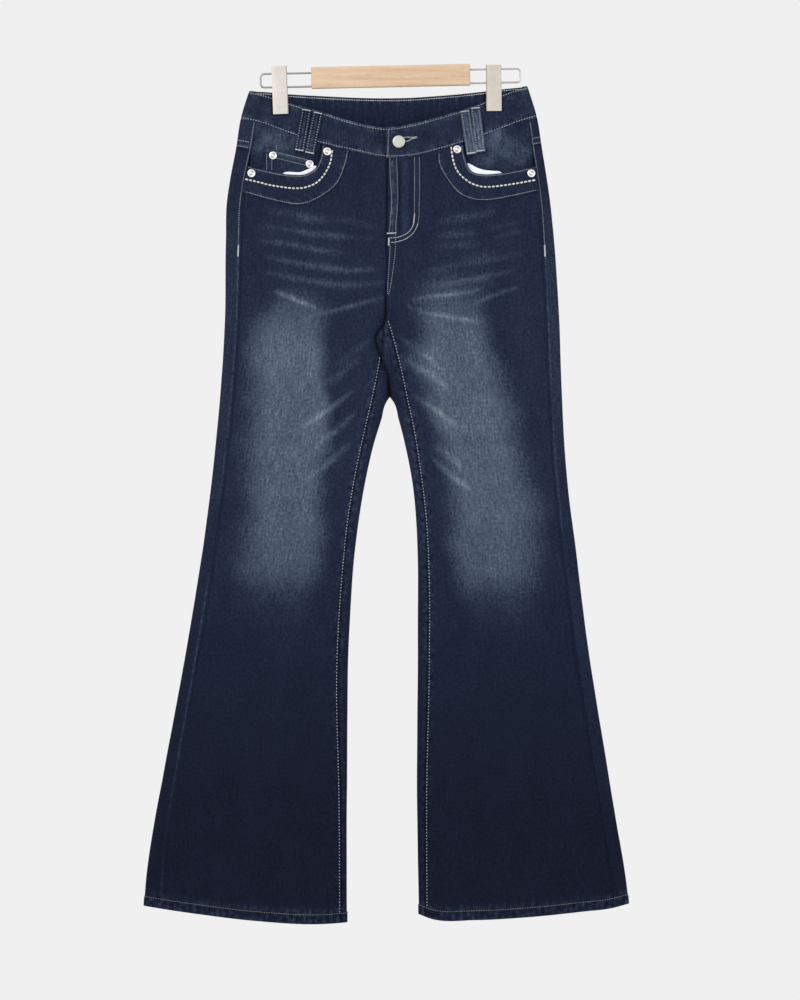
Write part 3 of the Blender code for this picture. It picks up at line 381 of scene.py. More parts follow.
def half_depth(x, z, face):
    """Half the tube's depth, led over to the shape of the pinched mouth near the waist."""
    mouth = np.where(face < 0, level_steps(x, MOUTH, "front"), level_steps(x, MOUTH, "back"))
    share = smooth(z, *MOUTH_FADE)
    return read(EDGES, "half_depth", z) * (1 - share) + mouth * share


def rounding(u):
    """Height of a flattened ellipse across a leg: 1 in the middle, 0 at the outer and the inner edge."""
    outer = np.sqrt(np.clip(1 - np.clip(u, 0, None) ** OUTER_ROUNDING, 0.0, 1.0))
    inner = np.sqrt(np.clip(1 - np.clip(-u, 0, None) ** INNER_ROUNDING, 0.0, 1.0))
    return np.where(u > 0, outer, inner)


def near(x, z, line):
    """Distance of each point from a line through (x, z) points, and the share of the way along it."""
    line = np.array(line, float)
    steps = np.hypot(*np.diff(line, axis=0).T)
    gone, distance, share = 0.0, np.full(np.shape(x), np.inf), np.zeros(np.shape(x))
    for (x1, z1), (x2, z2), step in zip(line, line[1:], steps):
        t = np.clip(((x - x1) * (x2 - x1) + (z - z1) * (z2 - z1)) / step**2, 0.0, 1.0)
        here = np.hypot(x - x1 - t * (x2 - x1), z - z1 - t * (z2 - z1))
        share = np.where(here < distance, (gone + t * step) / steps.sum(), share)
        distance, gone = np.minimum(distance, here), gone + step
    return distance, share


def folds(x, z, face):
    """Height of the large soft folds: for each one a bell across its line, fading past its ends."""
    height = np.zeros(np.shape(x))
    for fold_face, x1, z1, x2, z2, width, rise in zip(*FOLDS.values()):
        height = height + (face == fold_face) * rise * bell(near(x, z, [(x1, z1), (x2, z2)])[0], width)
    return height


def whisker_light(x, z, face):
    """Light of the whiskers: a bell across each line, swelling from its ends, broken a little along it."""
    light = np.zeros(np.shape(x))
    for number, (line_face, width, worn, line) in enumerate(WHISKERS):
        distance, t = near(x, z, line)
        along = np.clip(np.sin(math.pi * t) + 0.10, 0, 1) ** 0.6
        broken = 1 + 0.22 * np.sin(t * 19 + number * 1.7) * np.sin(t * 7.3 + number)
        across_line = bell(distance, width * (0.8 + 0.3 * along))
        light = light + (face == line_face) * worn * across_line * along * broken
    return light


# Folds in shadow between the thighs: width, depth of the shade, and (x, z) points
SHADES = [
    (1.7, 0.095, [(-5.0, -262), (-6.2, -300), (-6.7, -322.8), (-13.0, -334), (-19.4, -345.4),
                  (-17.8, -356), (-11.9, -373.4), (-2.6, -394.2), (-2.2, -408.2), (-0.6, -420.4)]),
    (7.0, 0.026, [(-6, -300), (-13, -334), (-19, -348), (-12, -374), (-4, -400), (-1, -421)]),
    (9.0, 0.022, [(3, -300), (5, -330), (7, -360), (8, -400), (12, -430)]),
]


def shade(x, z, face):
    """Darkness of the folds between the thighs, a bell across each of their lines."""
    dark = np.zeros(np.shape(x))
    for width, depth, line in SHADES:
        distance, t = near(x, z, line)
        dark = dark + (face == FRONT) * depth * bell(distance, width) * np.clip(t * 6, 0.2, 1)
    return dark


def puckers(x):
    """Rope-like puckers along the hem: a wave that closes up and draws out along it."""
    return np.sin(x / 1.25 + 1.3 * np.sin(x / 9.0))


def relief(x, z, face):
    """Small unevenness over the folds: long waves, a ridge on each whisker, and ripples along the hem."""
    waves = 0.35 * np.sin(x / 27.0 + z / 71.0 + face) * np.sin(z / 93.0 - x / 51.0)
    waves = waves + 0.16 * np.sin(x / 11.3 - z / 37.0) * np.sin(z / 29.0 + x / 41.0 + 2 * face)
    hem = smooth(read(HEM, "z", x) - z, -20.0, -8.0) * smooth(-z, 1040.0, 1050.0)
    ridges = 4.0 * whisker_light(x, z, face) - 6.0 * shade(x, z, face)
    return waves * smooth(-z, 130.0, 210.0) + ridges + 0.22 * hem * puckers(x)


def unit(directions):
    """Directions made one long."""
    return directions / np.linalg.norm(directions, axis=-1, keepdims=True)


def skin(side, u, z, face):
    """Points of the cloth's skin and its outward directions.

    The depth at u is the half depth and the folds, times 1 - s + s r, where r is the rounding and s is how
    far the valley sinks (1 on the outer half). A direction is the gradient of that flattened ellipse.
    """
    side, u, z, face = np.broadcast_arrays(side, np.asarray(u, float), np.asarray(z, float), face)
    x = place(side, u, z)
    depth = half_depth(x, z, face)
    sunk = valley(z)
    share = 1 + np.where(u > 0, 1.0, sunk) * (rounding(u) - 1)
    points = np.stack([x, face * share * (depth + folds(x, z, face)), z], axis=-1)
    level = np.maximum(rounding(u), np.where(u > 0, 0.0, EDGE_LEVEL * (1 - sunk)))
    rise_outer = OUTER_ROUNDING * np.clip(u, 0, None) ** (OUTER_ROUNDING - 1)
    rise_inner = INNER_ROUNDING * np.clip(-u, 0, None) ** (INNER_ROUNDING - 1) * sunk
    outward_x = side * (rise_outer - rise_inner) / half_width(side, z)
    outward = np.stack([outward_x, 2 * face * level / depth, np.zeros_like(x)], axis=-1)
    return points, unit(outward)


def above_skin(side, u, z, face=FRONT, lift=0.0):
    """Points at u above the skin by lift and the small relief, with their outward directions."""
    points, outward = skin(side, u, z, face)
    return points + outward * (lift + relief(points[..., 0], z, face))[..., None], outward


def side_at(x, z):
    """Which leg a point belongs to."""
    return np.where(x < read(CENTRE, "x", z), RIGHT, LEFT)


def spots_at(x, z, face=FRONT, side=None):
    """Leg, u across it, height and face of the points at x and z."""
    side = side_at(x, z) if side is None else side
    return side, across(side, x, z), z, face


def thigh_wash(x, z, face):
    """Share of the thigh's wear: an S-shaped rise from each edge of the stretch, times its strength."""
    wash = np.zeros(np.shape(x))
    x = x + 3.5 * np.sin(z / 24.0 + x / 60.0) + 2.0 * np.sin(z / 8.7 + x / 31.0)
    z = z + 6.0 * np.sin(x / 15.0) * np.sin(z / 41.0 + x / 37.0)
    for (side, worn_face), rows in THIGHS.items():
        edges = [side * read(rows, column, z) for column in ("inner", "inner_full", "outer_full", "outer")]
        here = (face == worn_face) & (side * x > side * read(CENTRE, "x", z))
        wash = wash + here * between(side * x, *edges) * read(rows, "strength", z)
    return wash


def hem_light(x, z):
    """Light of the folded hem: its lower edge, its puckers, and the worn line above its stitches."""
    above = z - read(HEM, "z", x)
    folded = 0.034 * bell(above - 2.2, 2.2) + (0.018 + 0.024 * puckers(x)) * smooth(-above, -13.0, -10.0)
    return folded + bell(above - 15.8, 3.0) * (0.024 + 0.034 * np.clip(puckers(x) + 0.2, 0, None))


def outside(x, z, side):
    """Distance in from a leg's outer edge."""
    return (outer_edge(side, z) - x) * side


def felled_light(x, z, side):
    """Light of the yoke's felled seam round on the front: a worn edge with a painted shade line below its
    fold.
    """
    above = z - np.where(side < 0, YOKE_SIDE[RIGHT], YOKE_SIDE[LEFT]) + 4.6 + 0.2 * outside(x, z, side)
    # the subtracted bell is painted shade below the felled seam's fold
    line = 0.045 * bell(above - 4.4, 3.4) - 0.085 * bell(above + 0.4, 1.3)
    line = line + 0.022 * (side < 0) * smooth(above, 0.0, 3.0)
    return line * smooth((x - side_seam(side, z)) * side, -0.5, 0.5)


def turned_light(x, z, side):
    """Light of a side seam: its worn, mottled edge, a painted shade line beside it, and the left one's pale
    strip.
    """
    from_seam = (side_seam(side, z) - x) * side
    mottled = 1 + 0.4 * np.sin(z / 1.9 + x) * np.sin(z / 5.3)
    edge = 1.3 * by_side(side, TURNED, z) * mottled * bell(from_seam + 0.8, 1.5)
    strip = (side > 0) * between(-z, 620.0, 700.0, 900.0, 1000.0) * smooth(-from_seam, 0.0, 3.0)
    # the bell subtracted beside the edge is painted shade along the seam
    return edge - read(TURNED, "dark", z) * bell(from_seam - 2.1, 1.4) + 0.02 * strip


FAR = 99.0


def inseam_light(x, z, side):
    """Light of an inseam below the crotch: a painted shade line along it, and a worn one beside that."""
    inside = np.where(z < CROTCH, (x - inseam(side, z)) * side, FAR)
    # the subtracted bell is painted shade along the inseam
    return 0.012 * bell(inside + 4.5, 2.0) - 0.045 * bell(inside + 0.8, 1.6)


def panel_light(x, z, face):
    """Lightness of the leg panels: unworn cloth, lifted by the thigh's wear, the whiskers and worn seams,
    with painted shade along the seams and in the folds between the thighs, and painted light in the centre
    groove.
    """
    side = side_at(x, z)
    unworn = read(UNWORN, "light", z)
    worn = (WORN_LIGHT - unworn) * thigh_wash(x, z, face) + whisker_light(x, z, face)
    hips = 0.012 * bell(np.abs(x) - 95.0, 50.0) * bell(z + 245.0, 45.0)
    rubbed = (0.014 + 0.018 * (side > 0)) * bell(outside(x, z, side) - 5.0, 7.0)
    rubbed = rubbed * smooth(z, -520.0, -400.0) * smooth(-z, 150.0, 200.0)
    # painted light that lifts the shade at the bottom of the centre groove between the thighs
    groove_fill_light = 0.055 * bell(x - read(CENTRE, "x", z), 1.8) * between(-z, 316.0, 328.0, 396.0, 412.0)
    seams = turned_light(x, z, side) + inseam_light(x, z, side) + felled_light(x, z, side)
    front = (face == FRONT) * (seams + rubbed + groove_fill_light)
    return unworn + worn + hips + hem_light(x, z) + front - shade(x, z, face)


def seam_near(x, z, face):
    """Nearness to the legs' sewn edges, a bell over the distance from the closest one."""
    side = side_at(x, z)
    inner = np.where(z < CROTCH, np.abs(x - inseam(side, z)), FAR)
    front = np.minimum(np.abs(x - side_seam(side, z)) + 9.0, inner)
    back = np.where(z > FORK, np.abs(x - read(CENTRE, "x", z)), FAR)
    hem = 0.7 * np.abs(z - read(HEM, "z", x) - 8.0)
    return bell(np.minimum(np.where(face == FRONT, front, back), hem), 7.0)


class Value:
    """A socket in an expression: each operation on it adds a Math node."""

    def __init__(self, finish, socket):
        self.finish, self.socket = finish, socket

    def math(self, operation, *others):
        return self.finish.node("ShaderNodeMath", {"operation": operation}, dict(enumerate((self, *others))))

    def __add__(self, other):
        return self.math("ADD", other)

    def __sub__(self, other):
        return self.math("SUBTRACT", other)

    def __rsub__(self, other):
        return self.math("MULTIPLY_ADD", -1.0, other)

    def __mul__(self, other):
        return self.math("MULTIPLY", other)

    __radd__, __rmul__ = __add__, __mul__


class Finish:
    """A material: node() adds any node, shade() feeds its shader, and the others are its usual nodes."""

    def __init__(self, name, **constants):
        self.material = bpy.data.materials.new(name)
        self.material.use_nodes = True
        self.tree = self.material.node_tree
        self.shader = self.tree.nodes["Principled BSDF"]
        self.shade(**constants)

    def feed(self, node, sockets):
        for key, value in sockets.items():
            if isinstance(value, Value):
                self.tree.links.new(value.socket, node.inputs[key])
            else:
                node.inputs[key].default_value = value

    def node(self, kind, settings=None, sockets=None, output=0):
        made = self.tree.nodes.new(kind)
        settings = dict(settings or {})
        for number, (at, colour) in enumerate(settings.pop("stops", [])):
            stop = made.color_ramp.elements[number] if number < 2 else made.color_ramp.elements.new(at)
            stop.position, stop.color = at, (*colour, 1.0)
        for key, value in settings.items():
            setattr(made, key, value)
        self.feed(made, sockets or {})
        return Value(self, made.outputs[output])

    def shade(self, **sockets):
        self.feed(self.shader, {name.replace("_", " "): value for name, value in sockets.items()})

    def place(self):
        """Place on the piece, in metres."""
        return self.node("ShaderNodeTexCoord", output="Object")

    def mapped(self, name):
        """Place on the piece's own map."""
        return self.node("ShaderNodeUVMap", {"uv_map": name})

    def held(self, name):
        """Number that the piece holds for each of its points."""
        return self.node("ShaderNodeAttribute", {"attribute_name": name}, output="Fac")

    def noise(self, where, scales, detail=2.0, seed=0.0):
        """Noise about 0, over a place stretched by its own scale along each axis."""
        shifted = {0: where, 1: scales, 2: (seed, seed, seed)}
        stretched = self.node("ShaderNodeVectorMath", {"operation": "MULTIPLY_ADD"}, shifted)
        sockets = {"Vector": stretched, "Scale": 1.0, "Detail": detail}
        return self.node("ShaderNodeTexNoise", {}, sockets) - 0.5

    def dot(self, where, direction):
        """How far a place lies along a direction."""
        settings = {"operation": "DOT_PRODUCT"}
        return self.node("ShaderNodeVectorMath", settings, {0: where, 1: direction}, "Value")

    def ramp(self, at, *stops):
        """Colour between stops, each a place from 0 to 1 and a linear colour."""
        return self.node("ShaderNodeValToRGB", {"stops": stops}, {"Fac": at})

    def bump(self, height, strength, distance):
        """Relief of the surface, a distance in metres deep."""
        sockets = {"Strength": strength, "Distance": distance, "Height": height}
        self.shade(Normal=self.node("ShaderNodeBump", {}, sockets))


def linear(*screen):
    """Linear colour of a screen colour from 0 to 255, by the usual power curve."""
    return tuple(((value / 255 + 0.055) / 1.055) ** 2.4 for value in screen)


# Colours of the cloth by its lightness: raw indigo, washed, and worn down to the pale weft
LIT = 1.36
WASH_COLOURS = [
    (0.03, (6, 7, 12)),
    (0.115, (27, 30, 45)),
    (0.16, (34, 40, 59)),
    (0.20, (43, 51, 71)),
    (0.33, (74, 86, 104)),
    (0.39, (88, 101, 119)),
    (0.49, (119, 126, 140)),
    (0.93, (232, 236, 240)),
]


def denim_finish(name):
    """Washed twill: lightness from the piece's own wash, broken by slubs down the warp and by fine grain."""
    made = Finish(name, Roughness=0.9, Sheen_Weight=0.015, Sheen_Roughness=0.5, Specular_IOR_Level=0.05)
    where, wash, seam = made.mapped("cloth"), made.held("wash"), made.held("seam")
    slub = made.noise(where, (420.0, 60.0, 1.0), 3.0)
    grain = made.noise(where, (330.0, 300.0, 1.0), 1.5, 7.0)
    cloud = made.noise(where, (34.0, 17.0, 1.0), 3.0, 3.0)
    rope = made.noise(where, (170.0, 150.0, 1.0), seed=11.0)
    worn = (wash - 0.15).math("MAXIMUM", 0.0)
    rubbed = (wash - 0.18).math("MAXIMUM", 0.0).math("MINIMUM", 0.05)
    light = wash * (1.0 + slub * 0.24 + grain * 0.60 + cloud * 0.26 + seam * (rope * 2.2 + 0.06))
    light = light + worn * (slub * 0.5 - grain * 0.15) + rubbed * (slub * 1.2 + grain * 1.9)
    colours = [np.maximum(np.array(linear(*screen)) / LIT - 0.0025, 0.001) for _, screen in WASH_COLOURS]
    made.shade(Base_Color=made.ramp(light, *zip([at for at, _ in WASH_COLOURS], colours)))
    twill = made.dot(where, (4400.0, 4400.0, 0.0)).math("SINE")
    made.bump(twill * 0.35 + grain * 1.3 + slub * 1.1 + seam * rope * 10.0, 0.55, 0.00022)
    return made.material


denim = denim_finish("washed denim")


def mesh_piece(name, points, faces, finish, sharp_angle=45.0):
    """Object made of points in millimetres; its faces meet smoothly up to the sharp angle."""
    mesh = bpy.data.meshes.new(name)
    mesh.from_pydata((np.asarray(points) * MM).tolist(), [], [list(face) for face in faces])
    mesh.shade_smooth()
    mesh.set_sharp_from_angle(angle=math.radians(sharp_angle))
    mesh.materials.append(finish)
    piece = bpy.data.objects.new(name, mesh)
    bpy.context.collection.objects.link(piece)
    return piece


def give(piece, name, values):
    """A number for each point of a piece's mesh, which its finish reads by name."""
    made = piece.data.attributes.new(name, "FLOAT", "POINT")
    made.data.foreach_set("value", values.astype(np.float32))


def lay_map(piece, name, spots):
    """Map that gives each corner of a face its point's spot; the spots repeat over the points."""
    points = np.empty(len(piece.data.loops), np.int32)
    piece.data.loops.foreach_get("vertex_index", points)
    made = piece.data.uv_layers.new(name=name)
    made.data.foreach_set("uv", spots[points % len(spots)].astype(np.float32).reshape(-1))


def gone_along(points):
    """Length gone at each point of a line."""
    return np.append(0.0, np.cumsum(np.linalg.norm(np.diff(points, axis=0), axis=1)))


# Painted shade on each piece's rim, where the pieces meet at seams: the wash on the rim where it meets the
# outside, as a share of it, and where it meets the inside
RIM_OUTER_SHADE = 0.8
RIM_INNER_SHADE = 0.06


def cloth(
    node,
    spots,
    finish,
    thick=DENIM,
    lift=0.0,
    kept=None,
    light=panel_light,
    reverse=0.40,
    hangs_from=(),
    near_seam=seam_near,
):
    """Closed wall of cloth in place of a solid, on a grid of skin points, with its wash and cloth map.

    The outer points lie lift and the relief out from the skin, the inner ones lie thick further in, and a
    rim joins them along the edge of the kept quads. The map runs in metres, along each row from the middle
    column, and down.
    """
    points, outward = skin(*spots)
    face = np.broadcast_to(spots[3], points.shape[:2])
    x, z = points[..., 0], points[..., 2]
    if kept is None:
        kept = np.ones((points.shape[0] - 1, points.shape[1] - 1), bool)
    outer = points + outward * (np.broadcast_to(lift, x.shape) + relief(x, z, face))[..., None]
    inner = outer - outward * np.broadcast_to(thick, x.shape)[..., None]
    row, column = np.nonzero(kept)
    rows, columns = np.stack([row, row, row + 1, row + 1]), np.stack([column, column + 1, column + 1, column])
    corners = points[rows, columns]
    areas = np.cross(corners[2] - corners[0], corners[3] - corners[1]) / 2
    corner = (rows * x.shape[1] + columns).T
    if (areas * outward[rows[0], columns[0]]).sum() < 0:
        corner = corner[:, ::-1]
    used, index = np.unique(corner, return_inverse=True)
    front, count = index.reshape(corner.shape), len(used)
    ends = np.stack([front, np.roll(front, -1, axis=1)], axis=-1).reshape(-1, 2)
    rim = ends[~np.isin(ends[:, 1] * count + ends[:, 0], ends[:, 0] * count + ends[:, 1])]
    rim = np.stack([rim[:, 1], rim[:, 0], rim[:, 0] + count, rim[:, 1] + count], axis=-1)
    faces = np.concatenate([front, front[:, ::-1] + count, rim]).tolist()
    both = np.concatenate([outer.reshape(-1, 3)[used], inner.reshape(-1, 3)[used]])
    piece = mesh_piece(node + "_cloth", both, faces, finish)

    along = np.linalg.norm(np.diff(points, axis=1), axis=-1)
    run = np.concatenate([np.zeros((len(along), 1)), np.cumsum(along, axis=1)], axis=1)
    middle = run.shape[1] // 2
    run = run - run[:, middle, None] + x[0, middle]
    shown = light(x, z, face)
    hidden = shown if reverse is None else reverse(x, z) if callable(reverse) else reverse + 0 * x
    wash = np.concatenate([np.clip(side_light, 0.0, 1.0).reshape(-1)[used] for side_light in (shown, hidden)])
    # painted shade along the rim: its outer edge darkened to a share of its wash, its inner edge set dark
    wash[rim[:, :2].ravel()] *= RIM_OUTER_SHADE
    wash[rim[:, 2:].ravel()] = RIM_INNER_SHADE
    give(piece, "wash", wash)
    give(piece, "seam", np.tile(near_seam(x, z, face).reshape(-1)[used], 2))
    lay_map(piece, "cloth", np.stack([run, z], axis=-1).reshape(-1, 2)[used] * MM)

    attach(piece, "root")
    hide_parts(node)


def thread_finish(name, screen, twists=3.0):
    """Polyester sewing thread: two plies laid round each other, with the colour worn unevenly along it."""
    made = Finish(name, Roughness=0.6, Specular_IOR_Level=0.3, Sheen_Weight=0.05)
    worn = made.noise(made.place(), (60.0, 60.0, 60.0)) + 0.55
    full = np.array(linear(*screen)) / LIT
    made.shade(Base_Color=made.ramp(worn, (0.2, full * 0.55), (0.75, full)))
    lay = (twists * 2 * math.pi, 2 * math.pi, 0.0)
    made.bump(made.dot(made.mapped("thread"), lay).math("SINE"), 0.6, 0.0001)
    return made.material


thread = thread_finish("pale thread", (200, 208, 211))
RINGS = np.array([0.07, 0.28, 0.5, 0.72, 0.93])
THREAD_SIDES = 6


def sew(name, runs, finish=thread, pitch=3.1, radius=0.34, share=0.76):
    """Rows of stitches as one piece. Each is a capsule of thread that dips into the cloth at both ends.

    A run is its points and outward directions. A stitch takes the given share of the pitch along it; with
    t from 0 to 1 along the stitch, its radius is R sqrt(1 - (2t - 1)^6), and its middle line rises above
    the cloth by R (0.6 - 1.5 (2t - 1)^4).
    """
    middles, ups, tangents = [], [], []
    stations = np.concatenate([[0.0], RINGS, [1.0]])
    for points, outward in runs:
        length = gone_along(points)
        count = max(1, round(length[-1] / pitch))
        at = (np.arange(count)[:, None] + 0.5 + (stations - 0.5) * share) * length[-1] / count
        middles.append(np.stack([np.interp(at, length, points[:, i]) for i in range(3)], axis=-1))
        ups.append(np.stack([np.interp(at, length, outward[:, i]) for i in range(3)], axis=-1))
        tangents.append(np.broadcast_to(middles[-1][:, -1:] - middles[-1][:, :1], middles[-1].shape))
    middles, ups, tangents = np.concatenate(middles), np.concatenate(ups), np.concatenate(tangents)
    aside = unit(np.cross(ups, tangents))
    bend = (2 * stations - 1)[:, None]
    centre_line = middles + ups * radius * (0.6 - 1.5 * bend**4)
    turn = np.arange(THREAD_SIDES) * 2 * math.pi / THREAD_SIDES
    girth = radius * np.sqrt(1 - bend[1:-1] ** 6)[..., None]
    ring = np.cos(turn)[:, None] * aside[:, 1:-1, None] + np.sin(turn)[:, None] * ups[:, 1:-1, None]
    rings = centre_line[:, 1:-1, None] + girth * ring
    count = len(middles)
    body = rings.reshape(count, -1, 3)
    vertices = np.concatenate([body, centre_line[:, :1], centre_line[:, -1:]], axis=1)
    size = vertices.shape[1]
    ring_start = np.arange(len(RINGS) - 1)[:, None] * THREAD_SIDES
    here, after = np.arange(THREAD_SIDES), (np.arange(THREAD_SIDES) + 1) % THREAD_SIDES
    next_ring = ring_start + THREAD_SIDES
    walls = [ring_start + here, next_ring + here, next_ring + after, ring_start + after]
    walls = np.stack(walls, axis=-1).reshape(-1, 4)
    last = (len(RINGS) - 1) * THREAD_SIDES
    caps = [(size - 2, a, b) for a, b in zip(here, after)]
    caps = np.array(caps + [(size - 1, last + b, last + a) for a, b in zip(here, after)])
    steps = np.arange(count)[:, None, None] * size
    faces = (steps + walls).reshape(-1, 4).tolist() + (steps + caps).reshape(-1, 3).tolist()
    piece = mesh_piece(name, vertices.reshape(-1, 3), faces, finish, 180.0)
    spots = np.stack(np.meshgrid(RINGS, here / THREAD_SIDES, indexing="ij"), -1).reshape(-1, 2)
    lay_map(piece, "thread", np.concatenate([spots, [[0.0, 0.0], [1.0, 0.0]]]))
    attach(piece, "root")


def row(line, face=FRONT, lift=0.0, offset=0.0):
    """A run of stitches over the cloth along a line of (x, z) points, moved aside by an offset.

    The lift above the skin is a number or a function of x and z.
    """
    line = np.array(line, float)
    length = gone_along(line)
    at = np.linspace(0, length[-1], max(2, int(length[-1] / 1.5)))
    x, z = through(at, length, line[:, 0]), through(at, length, line[:, 1])
    slope_x, slope_z = unit(np.stack([np.gradient(x), np.gradient(z)], axis=-1)).T
    x, z = x - slope_z * offset, z + slope_x * offset
    return above_skin(*spots_at(x, z, face), lift(x, z) if callable(lift) else lift)


def tack(start, end, width, face=FRONT, lift=0.0, step=0.75):
    """Runs of a bar tack: short stitches side by side across the line from its start to its end."""
    start, end = np.array(start, float), np.array(end, float)
    length = np.hypot(*(end - start))
    half = np.array([-(end - start)[1], (end - start)[0]]) / length * width / 2
    middles = start + (end - start) * np.linspace(0, 1, max(3, round(length / step)))[:, None]
    return [row([middle - half, middle + half], face, lift) for middle in middles]


def leg_rows(top, x_of, upper_step):
    """Heights of a leg's rows and their levels: from its top edge to the seat, down the leg, along the hem.

    Levels are the same all across. From the hem's start down, the heights stretch them to the hem's edge.
    """
    seat, knee, fold = -170.0, -545.0, HEM_REFERENCE + HEM_DEPTH
    levels = [
        np.arange(seat, knee, -upper_step),
        np.arange(knee, fold - 1, -5.0),
        [CROTCH, FORK, FORK - 2.5, fold + 1.2, fold, fold - 3, fold - 7, HEM_REFERENCE + 1, HEM_REFERENCE],
    ]
    levels = np.unique(np.concatenate(levels).round(2))[::-1]
    levels = levels[np.append(True, -np.diff(levels) > 0.9)]
    share = np.linspace(0, 1, 24, endpoint=False)[:, None] ** 1.3
    z = np.concatenate([top + (levels[0] - top) * share, np.repeat(levels[:, None], len(top), 1)])
    hem = (read(HEM, "z", x_of(z)) - HEM_START) / (HEM_REFERENCE - HEM_START)
    return np.where(z < HEM_START, HEM_START + (z - HEM_START) * hem, z), z


def sided(name, side):
    """Name of a piece on one side."""
    return name + ("_left" if side == LEFT else "_right")


def hem_wall(level):
    """Thickness and lift of a leg's points by their level: the folded hem is twice as thick."""
    folded = smooth(-level, -(HEM_REFERENCE + HEM_DEPTH + 1.3), -(HEM_REFERENCE + HEM_DEPTH))
    return DENIM + (HEM_THICK - DENIM) * folded, (HEM_THICK - DENIM) / 2 * folded


def wrap_columns(side, z, shares):
    """u of the columns from the side seam on the front out to the outer edge."""
    seam = across(side, side_seam(side, z) + side * SEAM_GAP / 2, z)
    return [1 - (1 - seam) * share for share in shares]


def own_columns(grids):
    """Grid whose column i is column i of the i-th of the given grids."""
    return np.stack([grid[..., i] for i, grid in enumerate(grids)], axis=-1)


def yoke_line(side, u, face):
    """Height of the yoke seam, level on the side and sloping down to the centre back."""
    share = np.where(face == BACK, (1 - u) / 2, 0.0)
    return YOKE_SIDE[side] + (YOKE_CENTRE - YOKE_SIDE[side]) * share


# Columns: from the side seam to the outer edge, across the back, and from the inner edge to the inseam
WRAP_SHARES = np.array([1.0, 0.945, 0.885, 0.80, 0.66, 0.50, 0.35, 0.22, 0.12, 0.05, 0.0125, 0.0])
EDGE_SHARES = 1 - np.linspace(0.06, 0.4, 7) ** 2
BACK_SHARES = np.concatenate([EDGE_SHARES, np.linspace(0.81, -0.82, 50), -1 + np.linspace(0.38, 0.1, 6) ** 2])
INNER_SHARES = np.linspace(0.0, 1.0, 9) ** 1.6
for side in (RIGHT, LEFT):
    centre = len(WRAP_SHARES) + len(BACK_SHARES)
    faces = np.repeat([FRONT, BACK, FRONT], [len(WRAP_SHARES) - 1, len(BACK_SHARES) + 3, len(INNER_SHARES)])
    top_u = [*wrap_columns(side, np.array(YOKE_SIDE[side]), WRAP_SHARES), *BACK_SHARES]
    top_u += [-1.0] * (len(faces) - centre)
    top = yoke_line(side, np.array(top_u), faces) - SEAM_GAP

    def u_of(z, side=side):
        edge = -1 + np.where(z > FORK, SEAM_GAP / 2, FORK_WRAP) / half_width(side, z)
        end = np.maximum(across(side, inseam(side, z) - side * SEAM_GAP / 2, z), edge + 0.01)
        grids = wrap_columns(side, z, WRAP_SHARES) + [np.full(z.shape, share) for share in BACK_SHARES]
        grids += [edge, np.full(z.shape, -1.0)]
        grids += [edge + (end - edge) * share for share in INNER_SHARES]
        return own_columns(grids)

    z, level = leg_rows(top, lambda z, side=side: place(side, u_of(z), z), 2.5)
    thick, lift = hem_wall(level)
    kept = np.ones((z.shape[0] - 1, z.shape[1] - 1), bool)
    kept[:, centre : centre + 2] = level[1:, :1] < FORK - 1
    kept[:, centre + 2 :] = level[1:, :1] < CROTCH - 1
    spots = (side, u_of(z), z, faces)
    cloth(sided("back_leg", side), spots, denim, thick, lift, kept, hangs_from=[sided("yoke", side)])


def hem_run(side):
    """The hem's stitches, all round the leg: out along the front and back along the back."""
    out = np.sin(np.linspace(-math.pi / 2, math.pi / 2, 160))
    u = np.append(out, out[::-1])
    z = read(HEM, "z", place(side, u, HEM_REFERENCE + 10.0)) + HEM_DEPTH
    return above_skin(side, u, z, np.repeat([FRONT, BACK], 160), (HEM_THICK - DENIM) / 2)


seat = np.linspace(-150.0, -408.0, 30)
seat_line = np.stack([read(CENTRE, "x", seat), seat], axis=1)
sew("seat_stitches", [row(seat_line, BACK, offset=offset) for offset in (2.2, 7.0)])
hem_thread = thread_finish("dull hem thread", (142, 142, 138))
sew("hem_stitches", [hem_run(RIGHT), hem_run(LEFT)], hem_thread, radius=0.40)

# ------------------------------------------------------------------------------------------------------
# Yokes: shaped pieces between the back waistband and the back panels, wrapped round to the side seams
# and felled to the panels with two rows of stitching.
# ------------------------------------------------------------------------------------------------------
# Edges of the waistband across the jeans; the front dips in the middle
WAIST = table("x front_top front_bottom back_top back_bottom", [
    (-190, -32.0, -67.7, -32.0, -67.7),
    (-160, -38.0, -74.5, -33.5, -70.5),
    (-129, -47.6, -85.5, -36.3, -73.5),
    (-86, -59.6, -99.5, -38.5, -76.5),
    (-43, -73.0, -109.5, -40.5, -78.5),
    (-3, -79.6, -117.5, -41.0, -79.0),
    (23, -75.7, -116.2, -40.5, -78.5),
    (63, -64.9, -106.5, -38.0, -76.3),
    (90, -56.9, -98.2, -35.8, -74.0),
    (120, -46.2, -87.7, -32.8, -71.0),
    (155, -33.5, -74.8, -28.5, -67.5),
    (187, -25.8, -64.9, -25.8, -64.9),
])
YOKE_SHARES = np.append(EDGE_SHARES, np.linspace(0.81, -0.97, 52))


def band_edges(x, face):
    """Heights of the waistband's top and lower edge at x."""
    top = np.where(face == FRONT, read(WAIST, "front_top", x), read(WAIST, "back_top", x))
    low = np.where(face == FRONT, read(WAIST, "front_bottom", x), read(WAIST, "back_bottom", x))
    return top, low


for side in (RIGHT, LEFT):
    faces = np.repeat([FRONT, BACK], [len(WRAP_SHARES) - 1, len(YOKE_SHARES) + 2])

    def u_of(z, side=side):
        grids = wrap_columns(side, z, WRAP_SHARES) + [np.full(z.shape, share) for share in YOKE_SHARES]
        return own_columns([*grids, -1 + SEAM_GAP / 2 / half_width(side, z)])

    u = u_of(np.full(len(faces), WAIST_REFERENCE))
    top = band_edges(place(side, u, WAIST_REFERENCE), faces)[1]
    z = np.linspace(top - SEAM_GAP, yoke_line(side, u, faces), 26)
    cloth(sided("yoke", side), (side, u_of(z), z, faces), denim, hangs_from=["waistband_back"])


